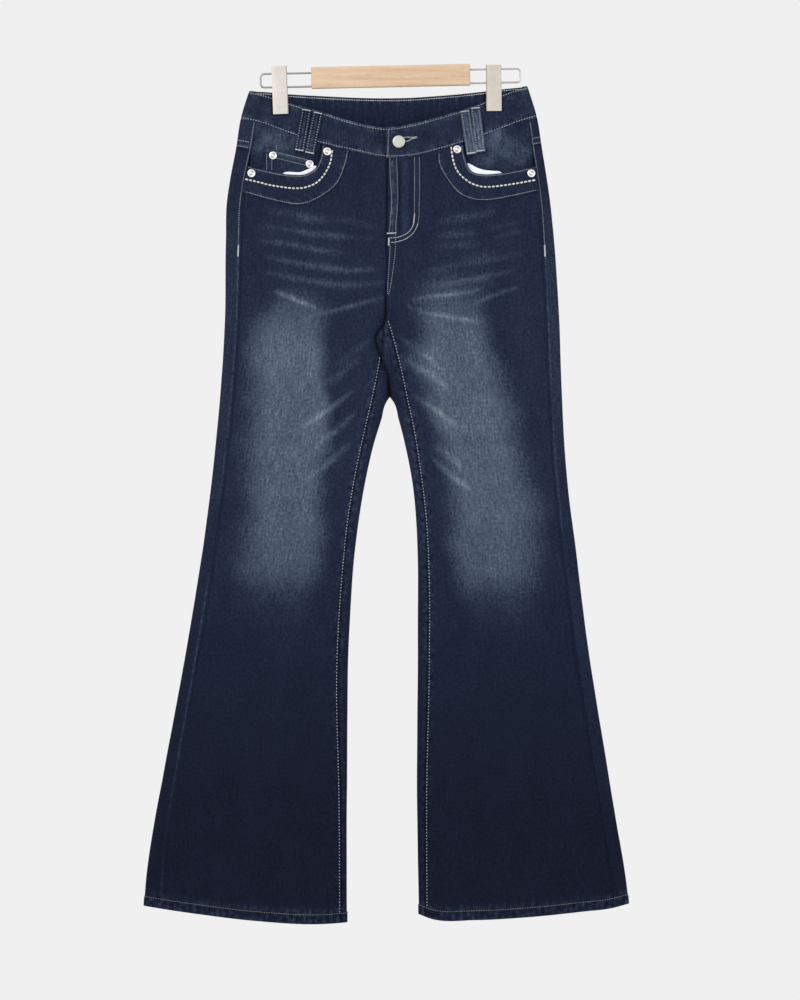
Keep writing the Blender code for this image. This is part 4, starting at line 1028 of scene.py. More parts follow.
def yoke_run(side, drop):
    """A row of stitches along the yoke seam, round the side and over the back to the centre."""
    wrap = np.stack(wrap_columns(side, np.array(YOKE_SIDE[side]), np.linspace(0.9, 0.0, 20) ** 2))
    u = np.concatenate([wrap, 1 - np.linspace(0.05, 0.4, 12) ** 2, np.linspace(0.8, -0.97, 60)])
    faces = np.repeat([FRONT, BACK], [20, 72])
    turned_in = np.abs(outer_edge(side, -100.0) - place(side, u, -100.0)) * (faces == FRONT)
    return above_skin(side, u, yoke_line(side, u, faces) + drop - 0.2 * turned_in, faces)


sew("yoke_stitches", [yoke_run(side, drop) for side in (RIGHT, LEFT) for drop in (5.0, -2.1)])


def rise_run(face, z):
    """The overlocked edges inside the rise: a run down the centre line, just under the skin."""
    points, _ = skin(RIGHT, -1.0 + 0 * z, z, face)
    outward = np.broadcast_to((0.0, float(face), 0.0), points.shape)
    return points - outward * (1.5 - relief(points[:, 0], z, face)[:, None]), outward


overlock = thread_finish("indigo overlock thread", (30, 33, 48))
rise_runs = [rise_run(FRONT, np.linspace(-124.0, -419.0, 120))]
rise_runs += [rise_run(BACK, np.linspace(-84.0, -419.0, 130))]
sew("rise_overlocking", rise_runs, overlock, pitch=4.0, radius=0.8, share=1.0)

# ------------------------------------------------------------------------------------------------------
# Front panels: the same twill, from the side seam to the rise and the inseam, scooped out at the pocket
# opening. The left one is folded back along the fly and doubled inside its J-shaped stitching.
# ------------------------------------------------------------------------------------------------------
FLY_LAP = 1.2
FLY_END = -240.0
FLY_CURVE = 36.5
# Edge of each pocket opening and lower edge of the band sewn round it, from the side seam to the waist
POCKETS = {
    RIGHT: np.array([
        (-181.7, -127.6, -185.2, -161.8),
        (-151.1, -135.0, -150.4, -171.6),
        (-130.2, -138.7, -115.6, -177.3),
        (-109.1, -138.8, -88.9, -167.9),
        (-95.2, -130.8, -67.4, -150.5),
        (-89.2, -118.2, -56.8, -126.5),
        (-85.9, -101.0, -52.7, -108.2),
    ]),
    LEFT: np.array([
        (179.7, -129.3, 187.2, -159.6),
        (162.9, -133.0, 154.3, -166.9),
        (140.9, -137.0, 125.2, -172.0),
        (119.5, -138.7, 103.3, -170.6),
        (102.6, -134.4, 82.9, -159.6),
        (94.8, -117.4, 62.6, -129.5),
        (91.8, -99.0, 59.9, -108.2),
    ]),
}
OPENING_X, OPENING_Z, EDGE_X, EDGE_Z = range(4)
# Shares of the panel's width that meet the rows of the pocket opening
OPENING_SHARES = np.array([0, 0.05, 0.13, 0.22, 0.32, 0.43, 0.54])
FRONT_SHARES = np.concatenate(
    [[0.0, 0.004, 0.01], np.linspace(0.018, 0.87, 84), np.linspace(0.877, 0.987, 18), [0.993, 0.997, 1.0]]
)


def pocket_line(side, t, x_column, z_column):
    """x and z along an edge of the pocket band, t from 0 at the side seam to 1 at the waist."""
    rows = POCKETS[side]
    number = np.linspace(0.0, 1.0, len(rows))
    x = through(t, number, rows[:, x_column])
    z = through(t, number, rows[:, z_column])
    return x, np.minimum(z, read(WAIST, "front_bottom", x) - SEAM_GAP)


def fly_lap(x, z):
    """Lift of the folded fly edge and the doubled cloth behind it, inside its J-shaped stitching."""
    curve_x = FLY_CURVE * np.sqrt(np.clip(1 - np.clip((-z - 190.0) / FLY_CURVE, 0, None) ** 2, 0.0, 1.0))
    return FLY_LAP * smooth(curve_x - x, -3.0, 3.0) * smooth(z, FLY_END - 3.0, FLY_END)


def fly_lift(x, z):
    """Lift of the stitches on the fly, which only the left panel has."""
    return fly_lap(x, z) * (x > read(CENTRE, "x", z))


def fly_light(x, z, face):
    """Lightness of the front panels with the rubbed ridge of the fly's edge, painted shade in the hollow
    beside it, and painted shadow along the lapped edge.
    """
    ridge = 0.100 * bell(x - 1.9, 2.0) * (1 + 0.8 * np.sin(z / 2.9) * np.sin(z / 6.7 + 1))
    ridge = ridge + 0.050 * bell(x - 6.2, 1.7) * (1 + 0.8 * np.sin(z / 2.2 + 2) * np.sin(z / 5.1))
    # painted shade beside the ridge and by the J stitches, with a lighter band between them
    hollow_shade = 0.030 * bell(x - 18.5, 5.5) - 0.045 * bell(x - 11.3, 2.4) - 0.020 * bell(x - 26.0, 2.5)
    fly = (ridge + hollow_shade) * between(-z, 118.0, 126.0, 205.0, 216.0)
    fly = fly + 0.03 * bell(x - 33.5, 1.8) * between(-z, 118.0, 122.0, 165.0, 190.0)
    # painted shadow that the left panel's lapped edge casts on the right panel
    lap_shadow = 0.07 * bell(x + 4.6, 1.5) * between(-z, 110.0, 118.0, 262.0, 275.0)
    return panel_light(x, z, face) + (x > read(CENTRE, "x", z)) * fly - lap_shadow


for side in (RIGHT, LEFT):
    opening = FRONT_SHARES <= OPENING_SHARES[-1]
    t = np.interp(FRONT_SHARES, OPENING_SHARES, np.linspace(0, 1, len(OPENING_SHARES)))
    top_x, top_z = pocket_line(side, t, OPENING_X, OPENING_Z)
    waist_end = read(CENTRE, "x", -117.0) + side * SEAM_GAP / 2
    waist_x = np.interp(FRONT_SHARES, [OPENING_SHARES[-1], 1.0], [POCKETS[side][-1, OPENING_X], waist_end])
    top_x = np.where(opening, top_x, waist_x)
    top_z = np.where(opening, top_z, read(WAIST, "front_bottom", waist_x) - SEAM_GAP)
    top_x[0] = side_seam(side, top_z[0]) - side * SEAM_GAP / 2

    def start_and_end(z, side=side):
        rise = np.where(z > CROTCH + 1, read(CENTRE, "x", z), inseam(side, z))
        return side_seam(side, z) - side * SEAM_GAP / 2, rise + side * SEAM_GAP / 2

    top_start, top_end = start_and_end(top_z)
    top_share = (top_x - top_start) / (top_end - top_start)

    def x_of(z):
        start, end = start_and_end(z)
        share = top_share + (FRONT_SHARES - top_share) * smooth(top_z - z, 0.0, 120.0)
        return start + share * (end - start)

    z, level = leg_rows(top_z, x_of, 1.8)
    x = x_of(z)
    thick, lift = hem_wall(level)
    if side == LEFT:
        lift = lift + fly_lap(x, z)
    cloth(
        sided("front_leg", side),
        spots_at(x, z, side=side),
        denim,
        thick,
        lift,
        light=fly_light,
        hangs_from=[sided("waistband_front", side)],
    )

# Rows of stitches down the fly and the rise, and the close-stitched foot of the J
FLY_ROWS = [
    [(36.6, -116.6), (36.6, -170.6), (36.2, -181.1), (36.1, -191.8), (34.7, -201.5)],
    [(30.5, -116.6), (30.4, -170.6), (30.3, -188.8)],
    [(-0.8, -118.0), (-0.5, -140.0), (1.4, -170.6), (1.1, -181.1), (-0.3, -195.2), (-0.6, -204.5),
     (-1.7, -212.0)],
    [(7.6, -118.0), (8.6, -140.0), (8.6, -181.0), (7.9, -190.9), (6.7, -205.9), (7.0, -212.0), (6.5, -216.0),
     (6.6, -228.0)],
    [(-0.4, -229.0), (-1.3, -246.8), (-3.0, -272.2), (-4.0, -291.2)],
    [(6.6, -229.0), (4.9, -246.8), (1.4, -272.2), (-2.0, -291.2)],
]
FLY_FOOT = [
    [(34.7, -201.5), (32.5, -207.3), (29.0, -212.9), (23.4, -217.8), (17.7, -221.4), (12.1, -223.3),
     (7.9, -224.5), (0.6, -225.2)],
    [(30.1, -198.8), (29.0, -202.3), (25.8, -208.7), (22.0, -212.9), (17.0, -215.8), (12.1, -217.8),
     (7.9, -218.9), (-0.3, -219.2)],
]
# Start, end and width of the bar tacks on the fly
FLY_TACKS = [
    ((-4.2, -213.6), (7.1, -213.2), 1.8),
    ((-2.0, -219.6), (-2.2, -228.6), 2.2),
    ((30.6, -189.0), (29.4, -199.6), 1.7),
]
sew("fly_stitches", [row(line, lift=fly_lift) for line in FLY_ROWS], pitch=2.7, share=0.64)
bar_tacks = [row(line, lift=fly_lift) for line in FLY_FOOT]
for ends in FLY_TACKS:
    bar_tacks += tack(*ends, lift=fly_lift)
for side in (RIGHT, LEFT):
    z = np.linspace(-370.0 if side == RIGHT else -323.5, -1080.0, 120)
    inseam_line = np.stack([inseam(side, z) + side * 1.3, z], axis=1)
    sew(sided("inseam_stitches", side), [row(inseam_line)], pitch=4.0, radius=0.5, share=0.55)
    z = np.linspace(-72.0, -228.0, 40)
    side_line = np.stack([side_seam(side, z) + side * 1.7, z], axis=1)
    sew(sided("side_seam_stitches", side), [row(side_line, lift=0.1)], pitch=3.0, share=0.55)
    x = side_seam(side, -235.0) + side * 1.2
    bar_tacks += tack((x, -228.5), (x + side * 0.6, -242.5), 2.2)
white_thread = thread_finish("bright thread", (232, 234, 232))
sew("bar_tacks", bar_tacks, white_thread, pitch=3.0, radius=0.42, share=1.0)

# ------------------------------------------------------------------------------------------------------
# Pocket bags: plain white cotton, cut to a rounded bag behind each front panel. The edge of each peeps
# out in the lowest part of the opening.
# ------------------------------------------------------------------------------------------------------
BAG_CLOTH = 1.0
BAG_INSET = 2.0
BAG_HANG = 3.2
# Top edge of each bag; its middle part shows in the opening
BAG_TOPS = {
    RIGHT: table("x z", [
        (-153, -148), (-140, -141), (-135.3, -136.6), (-130.4, -135.4), (-122.6, -135.7), (-113.8, -135.7),
        (-108, -133.5), (-102, -130.7), (-94.7, -127.8), (-91, -132), (-84, -140),
    ]),
    LEFT: table("x z", [
        (84, -138), (93, -129), (97.3, -124.6), (102.4, -126.2), (109.5, -130.0), (118.1, -132.8),
        (129.7, -134.1), (139.7, -135.6), (146, -141), (158, -148),
    ]),
}
# Middle and half width of each bag's foot
BAG_FEET = {RIGHT: (-115.0, 36.1), LEFT: (117.0, 38.0)}


def cotton_finish():
    """Plain white cotton: fine crossed threads and a little cloud."""
    made = Finish("white pocket cotton", Roughness=0.9, Sheen_Weight=0.1, Specular_IOR_Level=0.2)
    where = made.mapped("cloth")
    weave = made.noise(where, (1400.0, 300.0, 1.0)) + made.noise(where, (300.0, 1400.0, 1.0), seed=5.0)
    made.shade(Base_Color=made.ramp(weave + 0.6, (0.0, linear(205, 210, 220)), (1.0, linear(240, 243, 250))))
    made.bump(weave, 0.4, 0.0001)
    return made.material


def opening_height(side, x):
    """z of the pocket opening's edge at x, as deep as its lowest point where it climbs to the waist."""
    rows = np.stack(pocket_line(side, np.linspace(0, 1, 60), OPENING_X, OPENING_Z), axis=1)
    rows = rows[np.argsort(rows[:, 0])]
    return np.interp(x, rows[:, 0], rows[:, 1])


cotton = cotton_finish()
for side in (RIGHT, LEFT):
    share = np.linspace(-1, 1, 61)
    middle, half = BAG_FEET[side]
    top_x = np.linspace(BAG_TOPS[side]["x"][0], BAG_TOPS[side]["x"][-1], len(share))
    top = read(BAG_TOPS[side], "z", top_x)
    down = np.linspace(0, 1, 50)[:, None] ** 1.4
    x = top_x + (middle + half * share - top_x) * np.sin(down * math.pi / 2)
    z = top + (-318.0 - 22.0 * np.sqrt(np.clip(1 - share**4, 0, 1)) - top) * down
    cloth(
        sided("pocket_bag", side),
        spots_at(x, z, side=side),
        cotton,
        BAG_CLOTH,
        -BAG_INSET - BAG_HANG * smooth(-z, 166.0, 200.0),
        light=lambda x, z, face: 0.9 + 0 * x,
        reverse=0.9,
        hangs_from=[sided("pocket_band", side)],
    )

# ------------------------------------------------------------------------------------------------------
# Pocket facings and coin pocket: worn, lighter twill that fills each pocket opening. The small patch
# pocket on the right facing has a double-stitched top edge that slopes to the front.
# ------------------------------------------------------------------------------------------------------
POCKET_CLOTH = 1.2
FACING_INNER = {RIGHT: -66.0, LEFT: 72.0}
COIN_LINE = ((-160.0, -104.3), (-98.0, -120.9))
FACING_TOP_ROW = 4.0
FACING_END = -163.0
FACING_DROP = 5.0
FACING_LIP = 0.3
COIN_STEP = 1.5


def facing_inset(side, x, z):
    """How far the pocket facing lies in: flush at its top, under the front panel below the opening."""
    above = z - opening_height(side, x)
    return FACING_LIP + (FACING_DROP - FACING_LIP) * smooth(-above, -25.0, -4.5)


# Rubbed places on the facings: x, z, half width, half height and the light they add
FACING_WEAR = [
    (-156, -98, 20, 24, 0.085),
    (-128, -96, 20, 16, 0.05),
    (-112, -130, 16, 8, 0.04),
    (132, -92, 17, 17, 0.14),
    (160, -112, 22, 16, 0.09),
    (118, -122, 16, 10, 0.07),
]
# Columns of a facing's grid, and the row of it that runs along the coin pocket's top edge
FACING_COLUMNS = 48
COIN_ROW = 15


def facing_light(x, z, face):
    """Lightness of the facings: unworn cloth with rubbed places."""
    rubbed = 0.0
    for x_at, z_at, wide, high, worn in FACING_WEAR:
        rubbed = rubbed + worn * bell(x - x_at, wide) * bell(z - z_at, high)
    mottled = 1 + 0.4 * np.sin(x / 4.1 + z / 9.0) * np.sin(z / 5.3 - x / 13.0)
    return 0.178 + rubbed * mottled + 0.012 * np.sin(x / 6.3 - z / 4.7)


def coin_line(x):
    """Height of the coin pocket's top edge."""
    (x1, z1), (x2, z2) = COIN_LINE
    return z1 + (z2 - z1) * (x - x1) / (x2 - x1)


def facing_grid(side, lower):
    """x and z of the facing's points: rows down to the coin pocket's top edge, then more to its end."""
    start = side_seam(side, -100.0)
    x = np.linspace(start, FACING_INNER[side], FACING_COLUMNS)
    top = read(WAIST, "front_bottom", x) - SEAM_GAP
    line = np.minimum(coin_line(-np.abs(x)), top - FACING_TOP_ROW)
    below = np.linspace(line, FACING_END + 0 * x, lower)[1:]
    z = np.concatenate([np.linspace(top, line, COIN_ROW + 1), below])
    seam = side_seam(side, z) - side * SEAM_GAP / 2
    return x + (seam - start) * np.linspace(1, 0, FACING_COLUMNS), z


for side in (RIGHT, LEFT):
    x, z = facing_grid(side, 22)
    cloth(
        sided("pocket_facing", side),
        spots_at(x, z, side=side),
        denim,
        POCKET_CLOTH,
        -facing_inset(side, x, z),
        light=facing_light,
        hangs_from=[sided("waistband_front", side)],
    )
x, z = facing_grid(RIGHT, 26)
first, last = (np.argmin(np.abs(x[COIN_ROW] - end)) for end, _ in COIN_LINE)
x, z = x[COIN_ROW:-4, first : last + 1], z[COIN_ROW:-4, first : last + 1]
cloth(
    "coin_pocket",
    spots_at(x, z, side=RIGHT),
    denim,
    BAG_CLOTH,
    COIN_STEP - facing_inset(RIGHT, x, z),
    light=lambda x, z, face: 0.20 + 0.10 * bell(z - coin_line(x), 5.0),
    hangs_from=["pocket_facing_right"],
)

COIN_ROWS = [[(-148.5, -109.6), (-104.9, -120.3)], [(-148.0, -117.2), (-107.5, -127.1)]]
coin_runs = [row(line, lift=COIN_STEP - 0.3) for line in COIN_ROWS]
coin_runs += [row([(x_line, -112.0), (x_line, -133.5)], lift=COIN_STEP - 0.5) for x_line in (-157.0, -150.5)]
coin_runs += [row([(-144.9, -100.7), (-144.9, -108.3)], lift=0.1)]
sew("coin_pocket_stitches", coin_runs, pitch=2.8, radius=0.3)

# ------------------------------------------------------------------------------------------------------
# Pocket bands: a shaped band of the same twill on each front panel, round the pocket opening.
# ------------------------------------------------------------------------------------------------------
OVERLAY_GAP = 0.6
BAND_TOP = OVERLAY_GAP + POCKET_CLOTH


def edge_shares(count, tight=(0.012, 0.03, 0.06)):
    """Shares from 0 to 1 with a few close to each end, where a folded edge rounds over."""
    inner = np.linspace(tight[-1], 1 - tight[-1], count)
    return np.concatenate([[0.0], tight[:-1], inner, 1 - np.array(tight[-2::-1]), [1.0]])


def edge_roll(from_edge, width=1.6, depth=0.5):
    """Drop of a piece's surface near its folded edges, by the distance from them in millimetres."""
    return -depth * bell(from_edge, width)


for side in (RIGHT, LEFT):
    t = edge_shares(60)
    opening_x, opening_z = pocket_line(side, t, OPENING_X, OPENING_Z)
    edge_x, edge_z = pocket_line(side, t, EDGE_X, EDGE_Z)
    share = edge_shares(9, (0.02, 0.05, 0.1))[:, None]
    x = opening_x + (edge_x - opening_x) * share
    z = opening_z + (edge_z - opening_z) * share
    x[:, 0] = side_seam(side, z[:, 0]) - side * SEAM_GAP / 2
    z = np.minimum(z, read(WAIST, "front_bottom", x) - SEAM_GAP)
    from_edge = np.minimum(share, 1 - share) * 34.0 + 0 * x
    cloth(
        sided("pocket_band", side),
        spots_at(x, z, side=side),
        denim,
        POCKET_CLOTH,
        BAND_TOP + edge_roll(from_edge),
        light=lambda x, z, face, edge=from_edge: panel_light(x, z, face) + 0.008 + 0.05 * bell(edge, 1.6),
        near_seam=lambda x, z, face, edge=from_edge: bell(edge, 5.0),
        hangs_from=[sided("front_leg", side)],
    )

# Bold rows of thick cream thread along the bands
BOLD = {
    RIGHT: [
        (-73.7, -107.6), (-74.5, -112.9), (-76.2, -123.3), (-80.0, -132.5), (-85.5, -141.1), (-92.3, -148.3),
        (-101.6, -153.4), (-111.0, -156.0), (-121.5, -156.6), (-137.5, -154.9), (-153.3, -152.3),
        (-168.9, -148.3), (-184.5, -144.6),
    ],
    LEFT: [
        (76.9, -103.0), (77.7, -110.4), (79.1, -119.0), (82.0, -129.0), (85.9, -136.1), (89.8, -140.7),
        (94.5, -144.8), (101.6, -149.7), (109.5, -152.9), (117.5, -154.6), (125.3, -154.7), (143.9, -152.7),
        (163.3, -149.7), (183.6, -145.8),
    ],
}
cream_thread = thread_finish("thick cream thread", (255, 255, 250), 5.0)
for side in (RIGHT, LEFT):
    runs = []
    for columns, aside in (((OPENING_X, OPENING_Z), 1.9), ((EDGE_X, EDGE_Z), -1.5)):
        line = np.stack(pocket_line(side, np.linspace(0.01, 0.97, 60), *columns), axis=1)
        runs.append(row(line, lift=BAND_TOP - 0.1, offset=side * aside))
    sew(sided("pocket_band_stitches", side), runs, pitch=2.7, radius=0.3)
    bold_runs = [row(BOLD[side], lift=BAND_TOP)]
    sew(sided("bold_stitches", side), bold_runs, cream_thread, pitch=5.15, radius=1.08, share=0.84)

# ------------------------------------------------------------------------------------------------------
# Fly shield: strip of the same twill behind the closed fly, sewn to the right front.
# ------------------------------------------------------------------------------------------------------
x, z = np.meshgrid(np.linspace(-27.0, 15.0, 14), np.linspace(-120.5, -232.0, 34))
cloth("fly_shield", spots_at(x, z), denim, POCKET_CLOTH, -DENIM - OVERLAY_GAP, hangs_from=["front_leg_right"])

# ------------------------------------------------------------------------------------------------------
# Waistband: three lengths of doubled twill. The left front lies over the right one, which runs on as a
# tab for the button, and has the buttonhole. The inside of the back length shows above the front.
# ------------------------------------------------------------------------------------------------------
BAND = 2.4
BAND_HEIGHT = 38.0
BAND_LIGHT = 0.189
TAB_END = 30.5
TAB_STEP = (-24.0, -9.0)
END_SLANT = 0.02
BUTTON_AT = (10.5, -97.3)
SLIT = [(18.0, -94.2), (25.0, -93.4)]
# Shares of a leg's half width where the back band ends on the front, the front's wrap starts, and it ends
WRAP_BACK, WRAP_FROM, WRAP_TO = 0.985, 0.978, 0.95
EVEN_TO = 12.0
# Left and right edge and foot of each front clip plate
CLIPPED = [(-149.6, -130.6, -61.4), (121.0, 140.2, -56.6)]


def clip_shadow(x, z):
    """Darkness in the narrow gap round each clip's plate."""
    dark = 0.0
    for left, right, foot in CLIPPED:
        beside = np.hypot(np.clip(np.maximum(left - x, x - right), 0, None), np.clip(foot - z, 0, None))
        dark = dark + 0.11 * bell(beside, 1.7)
    return dark


def from_band_edge(x, z, face):
    """Distance in from the nearer of the waistband's two edges."""
    top, low = band_edges(x, face)
    return np.minimum(top - z, z - low)


def band_light(x, z, face):
    """Lightness of the waistband, worn a little along its edges, with painted shade in the buttonhole's slit,
    a painted shadow beside the left length's lapped end, and painted shadow round the clips.
    """
    edge = from_band_edge(x, z, face)
    worn = 0.15 * bell(edge, 1.3) * (1 + 0.6 * np.sin(x / 2.3) * np.sin(x / 5.7))
    worn = worn + 0.025 * bell(edge - 5.5, 3.4) * (0.5 + 0.5 * np.sin(x / 3.4 + z / 8.0))
    worn = worn + 0.012 * np.sin(x / 7.1 + z / 11.0) * np.sin(z / 6.0 - x / 19.0)
    end = 0.09 * bell(x + 3.2, 2.0) * (1 + 0.7 * np.sin(z / 1.7) * np.sin(z / 4.3))
    # painted shadow on the right length beside the left length's lapped end
    end = end - 0.06 * bell(x + 7.6, 1.6)
    # the buttonhole's open slit, painted dark as shade
    slit = 0.09 * bell(near(x, z, SLIT)[0], 1.2)
    return BAND_LIGHT + worn + (face == FRONT) * (end - slit - clip_shadow(x, z))


def inside_band(x, z):
    """Lightness of the back band's inside, with worn puckers under its top row of stitches, less painted
    shadow round the clips.
    """
    below = band_edges(x, BACK)[0] - z
    worn = np.clip(np.sin(x / 1.35 + 2.0 * np.sin(x / 11.0)) + 0.35 * np.sin(x / 3.1), 0, None)
    return 0.164 + 0.055 * np.exp(-np.abs(below - 4.5) / 7.0) * worn - clip_shadow(x, z)


def band_seam(x, z, face):
    """Nearness to the waistband's two edges."""
    return bell(from_band_edge(x, z, face), 6.0)


def band_grid(side, face):
    """u, z and face of the waistband's points: round the side from the back, then evenly to the centre."""
    first = 0.0 if face == FRONT else math.sqrt(1 - WRAP_FROM)
    turn = np.linspace(first, math.sqrt(1 - WRAP_TO), 7)
    if face == FRONT:
        turn = np.append(np.linspace(-math.sqrt(1 - WRAP_BACK), 0, 4, endpoint=False), turn)
    wrap = 1 - turn**2
    x_wrap = place(side, wrap, WAIST_REFERENCE)
    even = np.linspace(x_wrap[-1], side * EVEN_TO, 110)[1:]
    x = np.append(x_wrap, even)
    faces = np.where(np.append(turn, np.ones(len(even))) < 0, BACK, face)
    top, low = band_edges(x, faces)
    z = top + (low - top) * band_rows
    settle = smooth(side * (x_wrap[-1] - x), 0.0, 14.0)
    constant = across(side, x, WAIST_REFERENCE)
    constant[: len(wrap)] = wrap
    return constant + (across(side, x, z) - constant) * settle, z, faces


band_rows = edge_shares(27, (0.012, 0.035, 0.07))[:, None]
roll = edge_roll(np.minimum(band_rows, 1 - band_rows) * BAND_HEIGHT, 1.5, 0.45)
for side in (RIGHT, LEFT):
    u, z, faces = band_grid(side, FRONT)
    centre_x = read(CENTRE, "x", -100.0)
    end_x = np.array([centre_x]) if side == LEFT else np.linspace(centre_x, TAB_END, 12)
    end_x = np.append(np.linspace(side * EVEN_TO, centre_x, 6)[1:-1], end_x)
    top, low = band_edges(end_x, FRONT)
    end_z = top + (low - top) * band_rows
    end_sides = np.where(end_x * side >= centre_x * side, side, -side)
    end_u = across(end_sides, end_x, end_z)
    lift = roll + 0 * np.append(z[0], end_x)
    if side == LEFT:
        end_u[:, -1:] += (band_rows - 0.5) * 2 * END_SLANT
    else:
        x = np.append(place(side, u[0], z[0]), end_x)
        lift = lift - (BAND + OVERLAY_GAP) * smooth(x, *TAB_STEP)
    cloth(
        sided("waistband_front", side),
        (
            np.append(np.full(len(faces), side), end_sides),
            np.concatenate([u, end_u], axis=1),
            np.concatenate([z, end_z], axis=1),
            np.append(faces, np.full(len(end_x), FRONT)),
        ),
        denim,
        BAND,
        lift,
        light=band_light,
        near_seam=band_seam,
        reverse=0.15,
        hangs_from=[sided("clip", side)],
    )
right_u, right_z, _ = band_grid(RIGHT, BACK)
left_u, left_z, _ = band_grid(LEFT, BACK)
middle = np.linspace(-EVEN_TO, EVEN_TO, 9)[1:-1]
middle_side = side_at(middle, WAIST_REFERENCE + 0 * middle)
top, low = band_edges(middle, BACK)
middle_z = top + (low - top) * band_rows
cloth(
    "waistband_back",
    (
        np.repeat([RIGHT, *middle_side, LEFT], [right_u.shape[1], *np.ones(7, int), left_u.shape[1]]),
        np.concatenate([right_u, across(middle_side, middle, middle_z), left_u[:, ::-1]], axis=1),
        np.concatenate([right_z, middle_z, left_z[:, ::-1]], axis=1),
        BACK,
    ),
    denim,
    BAND,
    roll,
    light=band_light,
    near_seam=band_seam,
    reverse=inside_band,
    hangs_from=["clip_left", "clip_right"],
)


def band_run(face, from_top, inner=False):
    """A row of stitches along the band, outside or inside, down from its top or up from its foot."""
    share = np.linspace(-0.99, 0.99, 260)
    side = np.where(share < 0, RIGHT, LEFT)
    u = (np.abs(share) - 0.5) * 2
    top, low = band_edges(place(side, u, WAIST_REFERENCE), face)
    points, outward = skin(side, u, top - from_top if from_top > 0 else low - from_top, face)
    return (points - outward * (BAND + 0.05), -outward) if inner else (points, outward)


band_runs = [band_run(face, drop) for face in (FRONT, BACK) for drop in (2.4, -2.4)]
end_top, end_low = band_edges(-3.0, FRONT)
band_runs.append(row([(-2.4, end_top - 2.6), (-3.4, end_low + 2.6)]))
sew("waistband_stitches", band_runs, pitch=3.4, radius=0.5, share=0.55)
white_edge = thread_finish("pale edge thread", (226, 230, 236))
sew("waistband_inner_stitches", [band_run(BACK, 3.0, True)], white_edge, pitch=3.0, radius=0.62, share=0.84)

# Buttonhole: close stitches round a slit, spread by the button's shank at one end and meeting in a tack
HOLE_ABOVE = [(16.0, -92.4), (21.1, -91.6), (26.8, -92.0), (32.6, -91.4)]
HOLE_BELOW = [(16.0, -95.6), (20.0, -97.0), (23.9, -95.4), (27.4, -93.3), (32.6, -92.4)]
hole = [row(line, offset=aside) for line in (HOLE_ABOVE, HOLE_BELOW) for aside in (-0.45, 0.45)]
hole += tack((27.0, -92.6), (33.2, -91.4), 2.0, step=0.8)
sew("buttonhole_stitches", hole, pitch=1.5, radius=0.42, share=0.95)

# ------------------------------------------------------------------------------------------------------
# Belt loops: folded strips in pairs, tacked at both ends over the waistband and arched between them.
# The pair at the wearer's left front is rubbed paler.
# ------------------------------------------------------------------------------------------------------
LOOP_CLOTH = 1.8
LOOP_WIDTH = 12.4
LOOP_ARCH = 1.4
# Name, face, x and z of the middle of the top end, x and z of the lower end, lightness
LOOPS = [
    ("belt_loop_front_right_1", FRONT, -106.4, -54.8, -115.9, -109.6, 0.18),
    ("belt_loop_front_right_2", FRONT, -91.7, -58.6, -103.0, -113.0, 0.185),
    ("belt_loop_front_left_1", FRONT, 94.1, -56.4, 102.9, -113.4, 0.32),
    ("belt_loop_front_left_2", FRONT, 107.6, -51.9, 114.4, -110.5, 0.33),
    ("belt_loop_back_right_1", BACK, -111.0, -38.4, -111.0, -91.0, 0.24),
    ("belt_loop_back_right_2", BACK, -97.5, -39.0, -97.5, -91.6, 0.23),
    ("belt_loop_back_middle_1", BACK, -9.8, -42.0, -9.8, -95.0, 0.24),
    ("belt_loop_back_middle_2", BACK, 3.7, -42.0, 3.7, -95.0, 0.25),
    ("belt_loop_back_left_1", BACK, 90.5, -36.8, 90.5, -90.0, 0.24),
    ("belt_loop_back_left_2", BACK, 104.0, -35.6, 104.0, -89.0, 0.23),
]


def loop_grid(ends, along, offset):
    """x, z and lift of a loop's points; the lift is an arch sin^2 along it, over its own thickness."""
    top_x, top_z, low_x, low_z = ends
    x = top_x + (low_x - top_x) * along + offset
    z = top_z + (low_z - top_z) * along - (low_x - top_x) / (low_z - top_z) * offset
    return x, z, OVERLAY_GAP + LOOP_CLOTH + LOOP_ARCH * np.sin(math.pi * along) ** 2 + 0 * offset


loop_rows, loop_tacks = [], []
for name, face, *ends, tone in LOOPS:
    offset = (edge_shares(11, (0.03, 0.07, 0.12)) - 0.5) * LOOP_WIDTH
    x, z, lift = loop_grid(ends, edge_shares(18)[:, None], offset)
    centred = np.abs(offset) / LOOP_WIDTH + 0 * x
    held_by = "waistband_back" if face == BACK else sided("waistband_front", LEFT if ends[0] > 0 else RIGHT)

    def loop_light(x, z, face, tone=tone, centred=centred):
        """Lightness of a loop: worn along its middle and its edges, dark beside its stitches."""
        lower = 0.04 * np.clip((-85.0 - z) / 27.0, -1, 1) * (face == FRONT)
        worn = 0.05 * bell(centred, 0.10) - 0.05 * bell(centred - 0.23, 0.05)
        worn = worn + 0.06 * smooth(centred, 0.38, 0.47)
        return tone + lower + worn + 0.02 * np.sin(z / 2.7) * np.sin(z / 6.1 + x)

    cloth(
        name,
        spots_at(x, z, face),
        denim,
        LOOP_CLOTH,
        lift + 0.35 * bell(centred - 0.3, 0.08) - 0.5 * smooth(centred, 0.42, 0.5),
        light=loop_light,
        near_seam=lambda x, z, face: 0.35 + 0 * x,
        reverse=None,
        hangs_from=[held_by],
    )
    for aside in (-4.1, 4.1):
        x, z, lift = loop_grid(ends, np.linspace(0.02, 0.98, 40), aside)
        loop_rows.append(above_skin(*spots_at(x, z, face), lift + 0.1))
    for along in (0.035, 0.965):
        x, z, lift = loop_grid(ends, along, np.array([-4.9, 4.9]))
        loop_tacks += tack((x[0], z[0]), (x[1], z[1]), 1.7, face, lift[0])
sew("belt_loop_stitches", loop_rows, pitch=3.3, radius=0.6, share=0.42)
sew("belt_loop_tacks", loop_tacks, white_thread, pitch=3.0, radius=0.42, share=1.0)

